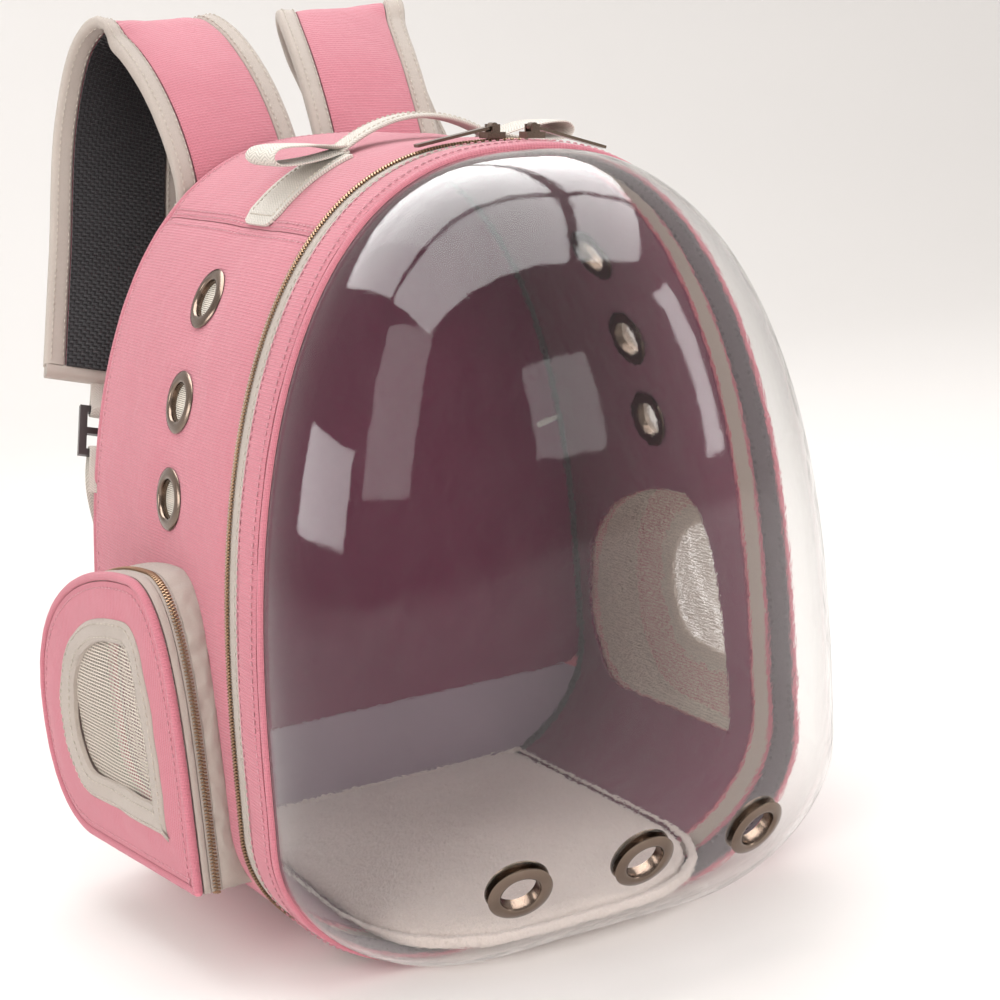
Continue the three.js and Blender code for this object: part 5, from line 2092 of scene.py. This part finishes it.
    def face_place(self, y: float, z: float, out: float) -> tuple[float, float, float]:
        """Carries a point of the face's cut onto the pod.

        Args:
            y: Depth.
            z: Height.
            out: Distance outward.

        Returns:
            The point.
        """
        loop = self.outline(4.3)
        edge = np.min(np.hypot(loop[:, 0] - y, loop[:, 1] - z))
        calm = min(1.0, edge / 14)
        puff = 1.6 * calm + (1.5 * ripple(y, z, 0, 34, 2.2) + 0.6 * ripple(y, z, 0, 14, 9.2)) * calm
        return (self.side.value * (165.0 + self.depth(y) - 1.4 + puff + out), y, z)

    def build_face(self) -> None:
        """Makes the face, the bound window frame and their stitches."""
        word = self.side.word
        outline = resample(self.outline(4.3), 150, closed=True)
        window = resample(self.scaled(self.window), 110, closed=True)
        face = panel(f"{word}_face_cloth", outline, [window], 5.0, self.face_place, self.wall)
        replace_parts(face, f"{word}_pod_face")
        self.finishes.dress(face, "pink_fabric")
        rows = 7
        outer, inner = self.scaled(self.window + 0.03), self.scaled(self.net)
        points, uv = [], []
        travel = np.linspace(0, 2.6 * (self.top - self.bottom), self.count + 1)
        for i in range(self.count + 1):
            k = i % self.count
            line, flat = [], []
            for inner_face, order in ((0.0, range(rows)), (1.0, reversed(range(rows)))):
                for j in order:
                    share = j / (rows - 1)
                    y, z = outer[k] * (1 - share) + inner[k] * share
                    lift = 1.5 * (1 - (2 * share - 1) ** 4) + 0.25 * ripple(travel[k], share, 0, 7, 3)
                    x, _, _ = self.face_place(y, z, (0.4 + lift) if not inner_face else -2.0)
                    line.append((x, y, z))
                    flat.append((travel[i], share * 16))
            points.append(line)
            uv.append([*flat, flat[0]])
        rings = np.array(points[:-1])
        frame = grid(f"{word}_window_tape", rings, np.array(uv), ring_rows=True, ring_cols=True)
        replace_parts(frame, f"{word}_pod_window_frame")
        self.finishes.dress(frame, "beige_fabric")
        out = np.array([float(self.side.value), 0.0, 0.0])
        lines = []
        for share in (0.2, 0.78):
            loop = outer * (1 - share) + inner * share
            loop = np.vstack([loop, loop[:1]])
            path = np.array([self.face_place(y, z, 1.75) for y, z in loop])
            lines.append((path, np.tile(out, (len(path), 1))))
        self.finishes.dress(stitches(f"{word}_window_stitching", lines), "beige_fabric", "thread_beige")
        loop = resample(self.outline(7.6), self.count, closed=True)
        path = np.array([self.face_place(y, z, 0.1) for y, z in np.vstack([loop, loop[:1]])])
        line = [(path, np.tile(out, (len(path), 1)))]
        self.finishes.dress(stitches(f"{word}_face_stitching", line), "pink_fabric", "thread_pink")

    def build_nets(self) -> None:
        """Makes the window's net and the net in the body's wall."""
        word = self.side.word

        def pane(y: float, z: float, _: float) -> tuple[float, float, float]:
            """The window net, a little slack."""
            slack = 1.3 * ripple(y, z, 0, 30, 4.4)
            return (self.side.value * (165.0 + self.depth(y) - 2.6 + slack), y, z)

        def wall_net(travel: float, y: float, _: float) -> tuple[float, float, float]:
            """The net behind the pod, on the inner side of the wall."""
            x, z, _, _ = ARCH.at(travel, -4.0 + 1.0 * ripple(travel, y, 0, 40, 1.9))
            return (x, y, z)

        window = resample(self.scaled(self.net + 0.01), 90, closed=True)
        made = panel(f"{word}_window_net", window, [], 6.0, pane, 0.0)
        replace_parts(made, f"{word}_pod_window_net")
        self.finishes.dress(made, "net")
        opening = self.body_opening(10.6)
        made = panel(f"{word}_wall_net", opening, [], 7.0, wall_net, 0.0)
        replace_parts(made, f"{word}_side_net")
        self.finishes.dress(made, "net")


@dataclass
class Handle:
    """Top handle: two sewn strips, a bow at each end and a folded grip."""

    finishes: Finishes
    body: Body
    middle: float = -25.0
    width: float = 38.0
    thickness: float = 1.6
    folded: float = 18.0
    rise: float = 12.0
    pinch: float = 46.0
    reach: float = 92.0
    opening: float = 11.0

    def build(self) -> None:
        """Makes and dresses the handle."""
        parts = [*(self.strip(side) for side in Side), *(self.bow(side) for side in Side), self.grip()]
        made = join("handle_webbing", parts)
        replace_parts(made, "carry_handle")
        self.finishes.dress(made, "webbing")
        sewn = stitches("handle_stitching", self.rows(), length=2.4, gap=0.8)
        self.finishes.dress(sewn, "webbing", "thread_beige")

    def strip(self, side: Side) -> bpy.types.Object:
        """The webbing sewn flat on the top from the shoulder seam to the pinch.

        Args:
            side: Which side.

        Returns:
            The strip.
        """
        seam = ARCH.travel_at_height(386.0, side)
        pinch = ARCH.travel_at_top(self.pinch * side.value)
        half = self.width / 2
        start, end = sorted((seam, pinch))
        along = np.linspace(start, end, 34)
        outline = [(a, self.middle - half) for a in along]
        outline += [(end, b) for b in np.linspace(self.middle - half, self.middle + half, 12)[1:-1]]
        outline += [(a, self.middle + half) for a in along[::-1]]
        outline += [(start, b) for b in np.linspace(self.middle + half, self.middle - half, 12)[1:-1]]
        flat = np.array(outline)
        root = seam
        for k, (a, b) in enumerate(flat):
            near = abs(a - root)
            over = abs(b - self.middle) - (half - 9)
            if near < 9 and over > 0:
                lack = 9 - math.sqrt(max(0.0, 81 - over * over))
                if near < lack:
                    flat[k, 0] = root + math.copysign(lack, (start + end) / 2 - root)

        def place(travel: float, y: float, out: float) -> tuple[float, float, float]:
            """Follows the body's cloth."""
            bend = 0.25 * ripple(travel, y, 0, 13, 2)
            rest = max(0.1, self.body.skin(travel, y)) + 0.2 + self.thickness
            x, z, _, _ = ARCH.at(travel, rest + bend * 0.5 + out)
            return (x, y, z)

        return panel(f"strip_{side.word}", flat, [], 4.0, place, self.thickness)

    def rest_height(self) -> float:
        """Height of the sewn strip's face at the pinch."""
        return ARCH.at(ARCH.travel_at_top(self.pinch), 1.9)[1]

    def bow(self, side: Side) -> bpy.types.Object:
        """The loop of webbing that stands out beyond the pinch.

        Args:
            side: Which side.

        Returns:
            The bow.
        """
        length = self.reach - self.pinch
        half = self.opening / 2 - self.thickness / 2
        shares = [
            (-0.06, 0.0), (0.08, -0.1), (0.25, -0.45), (0.5, -0.82), (0.8, -1.0), (0.94, -0.78), (1.0, 0.0),
            (0.94, 0.8), (0.8, 1.05), (0.5, 0.9), (0.25, 0.55), (0.08, 0.18), (-0.06, 0.08),
        ]
        rest = self.rest_height() + self.thickness
        rough = np.array([
            (side.value * (self.pinch + a * length), self.middle, rest + b * half + 0.6)
            for a, b in shares
        ])
        path = smooth_line(rough, 60)
        across = np.tile([0.0, 1.0, 0.0], (60, 1))
        along = unit(np.gradient(path, axis=0))
        out = unit(np.cross(along, across))
        ways = np.stack([across, out], axis=1)

        def section(i: int) -> list[tuple[float, float]]:
            """Wider away from the pinch, hollow across."""
            open_share = min(1.0, max(0.0, (abs(path[i][0]) - self.pinch) / (0.6 * length)))
            wide = self.folded + (self.width - self.folded) * open_share
            cup = 1.6 * (1 - open_share)
            flat = rounded_box(wide / 2, self.thickness / 2)
            return [(a, b + cup * (a / (wide / 2)) ** 2) for a, b in flat]

        return sweep(f"bow_{side.word}", path, ways, section, closed=False)

    def grip(self) -> bpy.types.Object:
        """The folded grip between the pinches.

        Returns:
            The grip.
        """
        count = 60
        share = np.linspace(-1, 1, count)
        rest = self.rest_height()
        low = rest - self.thickness / 2 + (424.0 + self.rise - rest) * (1 - share**2)
        path = np.stack([share * (self.pinch + 2), np.full(count, self.middle), low + self.thickness], axis=1)
        across = np.tile([0.0, 1.0, 0.0], (count, 1))
        along = unit(np.gradient(path, axis=0))
        ways = np.stack([across, unit(np.cross(along, across))], axis=1)

        def section(i: int) -> list[tuple[float, float]]:
            """Two layers folded over each other."""
            wave = 0.2 * ripple(i, 0, 0, 6, 3)
            return rounded_box(self.folded / 2 + wave, self.thickness + 0.15 * wave, fullness=3.2)

        return sweep("grip", path, ways, section, closed=False)

    def rows(self) -> list[tuple[np.ndarray, np.ndarray]]:
        """The stitches along the strips, at the pinches and along the grip.

        Returns:
            Rows of points and outward ways.
        """
        made = []
        for side in Side:
            seam = ARCH.travel_at_height(386.0, side)
            pinch = ARCH.travel_at_top(self.pinch * side.value)
            inner = seam + (pinch - seam) * 0.1
            spots = [(inner, -14.5), (pinch, -14.5), (pinch, 14.5), (inner, 14.5), (inner, -14.5)]
            for (a, b), (c, d) in zip(spots, spots[1:]):
                points, outward = [], []
                for t in np.linspace(0, 1, 24):
                    travel, y = a + (c - a) * t, self.middle + b + (d - b) * t
                    x, z, out_x, out_z = ARCH.at(travel, max(0.1, self.body.skin(travel, y)) + 1.95)
                    points.append((x, y, z))
                    outward.append((out_x, 0.0, out_z))
                made.append((np.array(points), np.array(outward)))
        share = np.linspace(-0.94, 0.94, 60)
        rest = self.rest_height()
        for y in (-6.4, 6.4):
            low = rest - self.thickness / 2 + (424.0 + self.rise - rest) * (1 - share**2)
            points = np.stack([share * (self.pinch + 2), np.full(60, self.middle + y), low + 3.2], axis=1)
            made.append((points, np.tile([0.0, 0.0, 1.0], (60, 1))))
        return made


def smooth_line(points: np.ndarray, count: int) -> np.ndarray:
    """Draws a smooth line through points.

    Args:
        points: The points.
        count: How many points to return.

    Returns:
        Evenly spaced points of the line.
    """
    ends = np.vstack([2 * points[0] - points[1], points, 2 * points[-1] - points[-2]])
    made = []
    for i in range(1, len(ends) - 2):
        p0, p1, p2, p3 = ends[i - 1:i + 3]
        gaps = [max(np.linalg.norm(b - a) ** 0.5, 1e-4) for a, b in ((p0, p1), (p1, p2), (p2, p3))]
        first = ((p1 - p0) / gaps[0] - (p2 - p0) / (gaps[0] + gaps[1]) + (p2 - p1) / gaps[1]) * gaps[1]
        second = ((p2 - p1) / gaps[1] - (p3 - p1) / (gaps[1] + gaps[2]) + (p3 - p2) / gaps[2]) * gaps[1]
        for t in np.linspace(0, 1, 24, endpoint=False):
            a = 2 * p1 - 2 * p2 + first + second
            b = -3 * p1 + 3 * p2 - 2 * first - second
            made.append(p1 + first * t + b * t * t + a * t**3)
    made.append(points[-1])
    return resample(np.array(made), count, closed=False)


@dataclass
class Strap:
    """One shoulder strap with its mesh lining, binding, buckle and lower webbing."""

    finishes: Finishes
    side: Side
    width: float = 82.0
    thickness: float = 7.0
    lining: float = 1.4
    binding: float = 12.0
    tab: float = 24.0
    webbing: float = 25.0
    webbing_thickness: float = 1.6
    buckle_height: float = 31.0
    buckle_bar: float = 4.0
    buckle_thickness: float = 3.4
    back_face: float = 104.3
    rows: tuple[tuple[float, float, float], ...] = (
        (0, 0, 0.56), (0, 0.02, 0.42), (0.04, 0.3, 0.19), (0.12, 0.66, 0.035), (0.2, 0.86, 0),
        (0.3, 1, 0.08), (0.48, 0.98, 0.3), (0.74, 0.66, 0.68), (1, 0.3, 1),
    )

    @cached_property
    def path(self) -> np.ndarray:
        """The strap's middle line."""
        root = self.back_face + 0.3 + 2.0 + 0.3 + self.thickness / 2
        rough = np.array([
            (self.side.value * (47 + 82 * a), root + 92 * b, 492 - 200 * c) for a, b, c in self.rows
        ])
        return smooth_line(rough, 110)

    @cached_property
    def ways(self) -> np.ndarray:
        """Along, across and toward the shoulder at each point of the line."""
        along = unit(np.gradient(self.path, axis=0))
        level = np.tile([1.0, 0.0, 0.0], (len(along), 1))
        across = unit(level - along * along[:, :1])
        return np.stack([along, across, unit(np.cross(along, across))], axis=1)

    def build(self) -> None:
        """Makes and dresses the strap."""
        word = self.side.word
        half = self.width / 2
        inner = half - self.binding
        mid = self.thickness / 2
        high = mid + 0.3 + self.lining
        ways = self.ways[:, 1:]

        def pad_section(i: int) -> list[tuple[float, float]]:
            """The crowned pink face."""
            made = []
            for a in np.linspace(-inner + 0.5, inner - 0.5, 13):
                crown = 2.2 * (1 - (a / inner) ** 4) + 0.5 * ripple(i * 3.6, a, 0, 24, 3.4)
                made.append((a, 1.4 - mid - crown))
            return made + [(inner - 0.5, mid), (-inner + 0.5, mid)]

        def lining_section(_: int) -> list[tuple[float, float]]:
            """The mesh face, crowned the other way."""
            places = np.linspace(inner - 0.5, -inner + 0.5, 13)
            made = [(a, high - 0.2 + 1.5 * (1 - (a / inner) ** 4)) for a in places]
            return [(-inner + 0.5, mid + 0.3), (inner - 0.5, mid + 0.3)] + made

        pad = sweep(f"{word}_strap_cloth", self.path, ways, pad_section, closed=False)
        mesh = sweep(f"{word}_strap_mesh", self.path, ways, lining_section, closed=False)
        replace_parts(mesh, f"{word}_strap_lining")
        self.finishes.dress(mesh, "strap_mesh")
        tab = self.fold_tab()
        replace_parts(pad, f"{word}_strap_pad")
        self.finishes.dress(pad, "pink_fabric")
        self.finishes.dress(tab, "webbing")
        self.build_binding(half, inner, -mid, high)
        self.build_webbing()
        self.build_buckle()

    def build_binding(self, half: float, inner: float, low: float, mid: float) -> None:
        """Makes the wide bound edge on both sides and round the end.

        Args:
            half: Half the strap's width.
            inner: Where the binding's inner edge lies.
            low: The strap's lowest face.
            mid: The strap's highest face.
        """
        word = self.side.word
        parts, lines = [], []
        thick, centre = (mid - low) / 2, (mid + low) / 2
        for way in (-1, 1):
            place = way * (half + inner) / 2

            def section(i: int, place: float = place) -> list[tuple[float, float]]:
                """A flat section with a round outer edge."""
                wave = 0.25 * ripple(i * 3.6, place, 0, 9, 1.2)
                flat = rounded_box((half - inner) / 2 + 0.2, thick + wave, fullness=3.4)
                return [(place + a, centre + b) for a, b in flat]

            parts.append(sweep(f"edge{way + 1}", self.path, self.ways[:, 1:], section, closed=False))
            for spot in (inner + 1.8, half - 3.2):
                points = self.path + self.ways[:, 1] * way * spot + self.ways[:, 2] * (centre + thick * 0.99)
                lines.append((points, self.ways[:, 2]))
                points = self.path + self.ways[:, 1] * way * spot + self.ways[:, 2] * (centre - thick * 0.99)
                lines.append((points, -self.ways[:, 2]))
        along, across, out = self.ways[-1]
        end = self.path[-1] + along * 3.2
        bar = np.array([end + across * a for a in np.linspace(-half + 1, half - 1, 24)])
        way_pair = np.stack([np.tile(along, (24, 1)), np.tile(out, (24, 1))], axis=1)

        def end_section(_: int) -> list[tuple[float, float]]:
            """The bound end."""
            return [(a, centre + b) for a, b in rounded_box(4.2, thick, fullness=3.0)]

        parts.append(sweep("edge_end", bar, way_pair, end_section, closed=False))
        made = join(f"{word}_strap_edge", parts)
        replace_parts(made, f"{word}_strap_binding")
        self.finishes.dress(made, "beige_fabric")
        self.finishes.dress(stitches(f"{word}_strap_stitching", lines), "beige_fabric", "thread_beige")

    def frame_end(self) -> tuple[np.ndarray, np.ndarray, np.ndarray, np.ndarray]:
        """The buckle's upper bar and the directions at the strap's end.

        Returns:
            The bar's middle, and the ways along, across and out.
        """
        along, across, out = self.ways[-1]
        return self.path[-1] + along * self.tab, along, across, out

    def flat_ribbon(
        self,
        name: str,
        rough: np.ndarray,
        start: np.ndarray,
        finish: np.ndarray,
        count: int,
    ) -> bpy.types.Object:
        """A strip of webbing along a line.

        Args:
            name: The object's name.
            rough: The line's points.
            start: The way across at its start.
            finish: The way across at its end.
            count: How many sections.

        Returns:
            The strip.
        """
        path = smooth_line(rough, count)
        along = unit(np.gradient(path, axis=0))
        turn = np.clip((np.linspace(0, 1, count) - 0.35) / 0.5, 0, 1)[:, None]
        wanted = start * (1 - turn) + finish * turn
        across = unit(wanted - along * np.einsum("ij,ij->i", wanted, along)[:, None])
        ways = np.stack([across, unit(np.cross(along, across))], axis=1)
        flat = rounded_box(self.webbing / 2, self.webbing_thickness / 2)
        return sweep(name, path, ways, lambda _: flat, closed=False)

    def fold_tab(self) -> bpy.types.Object:
        """The webbing that comes out of the strap's end and folds round the upper bar.

        Returns:
            The folded tab.
        """
        bar, along, across, out = self.frame_end()
        radius = math.hypot(self.buckle_bar, self.buckle_thickness) / 2 + 0.3 + self.webbing_thickness / 2
        rough = [bar - along * (self.tab + 3) + out * 0.9, bar - along * (radius + 4) + out * 1.1]
        for turn in np.linspace(0.75 * math.pi, -0.75 * math.pi, 9):
            rough.append(bar + along * radius * math.cos(turn) + out * radius * math.sin(turn))
        rough += [bar - along * (radius + 4) - out * 1.1, bar - along * (self.tab + 3) - out * 0.9]
        return self.flat_ribbon(f"{self.side.word}_strap_tab", np.array(rough), across, across, 70)

    def build_webbing(self) -> None:
        """Makes the adjusting webbing from the lower bar to its sewn foot."""
        word = self.side.word
        bar, along, across, _ = self.frame_end()
        up = unit(np.cross(across, along))
        low_bar = bar + along * (self.buckle_height - self.buckle_bar)
        radius = math.hypot(self.buckle_bar, self.buckle_thickness) / 2 + 0.3 + self.webbing_thickness / 2
        rough = [low_bar + along * 26 - up * (radius + 1.5), low_bar + along * 9 - up * radius]
        for turn in np.linspace(0, math.pi, 7):
            rough.append(low_bar - along * radius * math.sin(turn) - up * radius * math.cos(turn))
        leave = low_bar + along * 16 + up * radius
        foot = np.array([self.side.value * 128.0, self.back_face + 0.3 + 0.8, 60.0])
        knee = foot + [0, 0, 26]
        sag = np.array([0.0, 3.0, -2.0])
        fall = [leave * (1 - s) + knee * s + sag * math.sin(math.pi * s) for s in (0.25, 0.5, 0.75)]
        rough += [leave, *fall, knee, foot]
        level = np.array([1.0, 0.0, 0.0])
        made = self.flat_ribbon(f"{word}_webbing_strip", np.array(rough), across, level, 150)
        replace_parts(made, f"{word}_strap_webbing")
        self.finishes.dress(made, "webbing")
        centre = foot + [0, 0.85, 12]
        lines = []
        box_and_cross = (
            (-9, -9, 9, -9), (9, -9, 9, 9), (9, 9, -9, 9), (-9, 9, -9, -9), (-9, -9, 9, 9), (9, -9, -9, 9),
        )
        for a, b, c, d in box_and_cross:
            t = np.linspace(0, 1, 12)[:, None]
            points = centre + np.hstack([a + (c - a) * t, 0 * t, b + (d - b) * t])
            lines.append((points, np.tile([0.0, 1.0, 0.0], (12, 1))))
        self.finishes.dress(stitches(f"{word}_foot_stitching", lines, 2.2, 0.7), "webbing", "thread_beige")

    def build_buckle(self) -> None:
        """Rounds the buckle's edges and gives it its finish."""
        node = bpy.data.objects[f"{self.side.word}_strap_buckle"]
        soften(node, 0.7)
        self.finishes.dress(node, "buckle_plastic")


def soften(node: bpy.types.Object, width: float) -> None:
    """Rounds the edges of a hard piece.

    Args:
        node: The piece.
        width: The rounding in millimetres.
    """
    bevel = node.modifiers.new("Bevel", "BEVEL")
    bevel.width = width * MM
    bevel.segments = 3
    bevel.limit_method = "ANGLE"
    bevel.angle_limit = math.radians(40)
    bevel.harden_normals = False


@dataclass
class Hardware:
    """The strap yoke, the two zip sliders and their pull tabs."""

    finishes: Finishes

    def build(self) -> None:
        """Makes and dresses the remaining pieces."""
        count = 40
        path = np.stack([np.linspace(-92, 92, count), np.full(count, 105.6), np.full(count, 377.0)], axis=1)
        ways = np.stack([np.tile([0.0, 0.0, 1.0], (count, 1)), np.tile([0.0, -1.0, 0.0], (count, 1))], axis=1)
        yoke = sweep("yoke_webbing", path, ways, lambda i: rounded_box(15, 1.0), closed=False)
        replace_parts(yoke, "strap_yoke")
        self.finishes.dress(yoke, "webbing")
        lines = []
        for z in (365.5, 388.5):
            t = np.linspace(-88, 88, 60)
            points = np.stack([t, np.full(60, 106.7), np.full(60, z)], axis=1)
            lines.append((points, np.tile([0.0, 1.0, 0.0], (60, 1))))
        self.finishes.dress(stitches("yoke_stitching", lines), "webbing", "thread_beige")
        for word in ("left", "right"):
            for name in (f"{word}_zip_slider", f"{word}_zip_pull"):
                node = bpy.data.objects[name]
                soften(node, 0.4)
                self.finishes.dress(node, "gunmetal")


@dataclass(frozen=True)
class Lamp:
    """A soft rectangular light."""

    name: str
    place: tuple[float, float, float]
    aim: tuple[float, float, float]
    size: tuple[float, float]
    power: float
    colour: tuple[float, float, float] = (1.0, 1.0, 1.0)
    lights: bool = True
    mirrored: bool = True

    def build(self) -> None:
        """Adds the light to the scene."""
        data = bpy.data.lights.new(self.name, "AREA")
        data.shape = "RECTANGLE"
        data.size, data.size_y = self.size
        data.energy = self.power
        data.color = self.colour
        lamp = bpy.data.objects.new(self.name, data)
        bpy.context.scene.collection.objects.link(lamp)
        lamp.visible_diffuse = self.lights
        lamp.visible_glossy = self.mirrored
        lamp.location = self.place
        lamp.rotation_euler = (Vector(self.aim) - Vector(self.place)).to_track_quat("-Z", "Y").to_euler()


@dataclass
class Studio:
    """Floor, lights, world and camera."""

    place: tuple[float, float, float] = (-574.97, -1153.01, 496.98)
    forward: tuple[float, float, float] = (0.46969, 0.85885, -0.20440)
    roll: float = -3.72
    focal: float = 2283.4
    centre: tuple[float, float] = (502.3, 475.1)
    window_height: float = 1.75
    window_glow: float = 6.5
    window_columns: tuple[tuple[float, float], ...] = ((-1.45, 0.70), (0.78, 1.35))
    window_rows: tuple[tuple[float, float], ...] = ((-1.12, -0.12), (-0.04, 1.60))

    def build(self) -> None:
        """Builds the studio."""
        self.build_floor()
        self.build_lights()
        self.build_camera()

    def build_camera(self) -> None:
        """Sets the camera that sees the carrier as the photograph does."""
        data = bpy.data.cameras.new("Camera")
        data.sensor_width = 36.0
        data.lens = self.focal / 1000 * 36
        data.shift_x = (500 - self.centre[0]) / 1000
        data.shift_y = (self.centre[1] - 500) / 1000
        data.clip_start = 0.05
        camera = bpy.data.objects.new("Camera", data)
        bpy.context.scene.collection.objects.link(camera)
        forward = Vector(self.forward).normalized()
        right = forward.cross(Vector((0, 0, 1))).normalized()
        up = right.cross(forward)
        roll = math.radians(self.roll)
        x = right * math.cos(roll) + up * math.sin(roll)
        y = -right * math.sin(roll) + up * math.cos(roll)
        turn = Matrix((x, y, -forward)).transposed()
        camera.matrix_world = Matrix.Translation(Vector(self.place) * MM) @ turn.to_4x4()
        bpy.context.scene.camera = camera

    def build_floor(self) -> None:
        """Lays a pale floor that curves up far behind the carrier."""
        points, uv = [], []
        profile = [(-4000.0, 0.0), (1500.0, 0.0)]
        bend = 1500.0
        turns = np.linspace(0.1, math.pi / 2, 12)
        profile += [(bend + bend * math.sin(t), bend * (1 - math.cos(t))) for t in turns]
        profile.append((3000.0, 4000.0))
        for y, z in profile:
            points.append([(-4000.0, y, z), (4000.0, y, z)])
            uv.append([(-4000.0, y + z), (4000.0, y + z)])
        floor = grid("floor", np.array(points), np.array(uv))
        made, tree, shader = material("PaleFloor")
        place = tree.node("ShaderNodeTexCoord")
        tone = Tone().place(
            tree, Vector=place.outputs["Object"], Color=linear(0xF4F2F0), Patch=2.0, Strength=0.03)
        tree.feed(shader.inputs["Base Color"], tone.outputs["Color"])
        shader.inputs["Roughness"].default_value = 0.7
        floor.data.materials.append(made)

    def build_lights(self) -> None:
        """Sets the soft lights and an even world."""
        scene = bpy.context.scene
        world = bpy.data.worlds.new("World")
        scene.world = world
        world.use_nodes = True
        world.node_tree.nodes["Background"].inputs[0].default_value = linear(0xEDE9E6)
        world.node_tree.nodes["Background"].inputs[1].default_value = 0.85
        scene.view_settings.view_transform = "Standard"
        warm = (1.0, 0.98, 0.96)
        Lamp("Key", (-1.9, -0.9, 1.2), (0, 0, 0.22), (1.0, 1.4), 23.0, warm, mirrored=False).build()
        Lamp("Fill", (1.7, -1.4, 0.9), (0, 0, 0.2), (0.30, 1.3), 8.0).build()
        Lamp("Top", (0.0, 0.5, 2.1), (0, 0, 0.2), (1.8, 1.2), 21.0, mirrored=False).build()
        Lamp("Front", (0.25, -2.2, 0.95), (0, 0, 0.2), (1.0, 0.8), 13.0, mirrored=False).build()
        Lamp("Strip", (-1.6, 0.25, 0.47), (-0.1, -0.1, 0.28), (1.0, 0.42), 8.0, lights=False).build()
        for low, high in self.window_rows:
            for left, right in self.window_columns:
                size = (right - left, high - low)
                place = ((left + right) / 2, (low + high) / 2, self.window_height)
                power = self.window_glow * math.pi * size[0] * size[1]
                aim = (place[0], place[1], 0.0)
                Lamp(f"Window_{left}_{low}", place, aim, size, power, lights=False).build()


def main() -> None:
    """Builds the carrier over its frame, and the studio round it."""
    logging.basicConfig(level=logging.INFO, format="%(name)s %(message)s")
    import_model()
    finishes = Finishes()
    finishes.build()
    body = Body(finishes)
    pods = {side: Pod(finishes, body, side) for side in Side}
    body.build(pods)
    Cabin(finishes, body).build(pods)
    Door(finishes, body).build()
    Dome(finishes).build()
    for pod in pods.values():
        pod.build()
    Handle(finishes, body).build()
    for side in Side:
        Strap(finishes, side).build()
    Hardware(finishes).build()
    Studio().build()


if __name__ == "__main__":
    main()
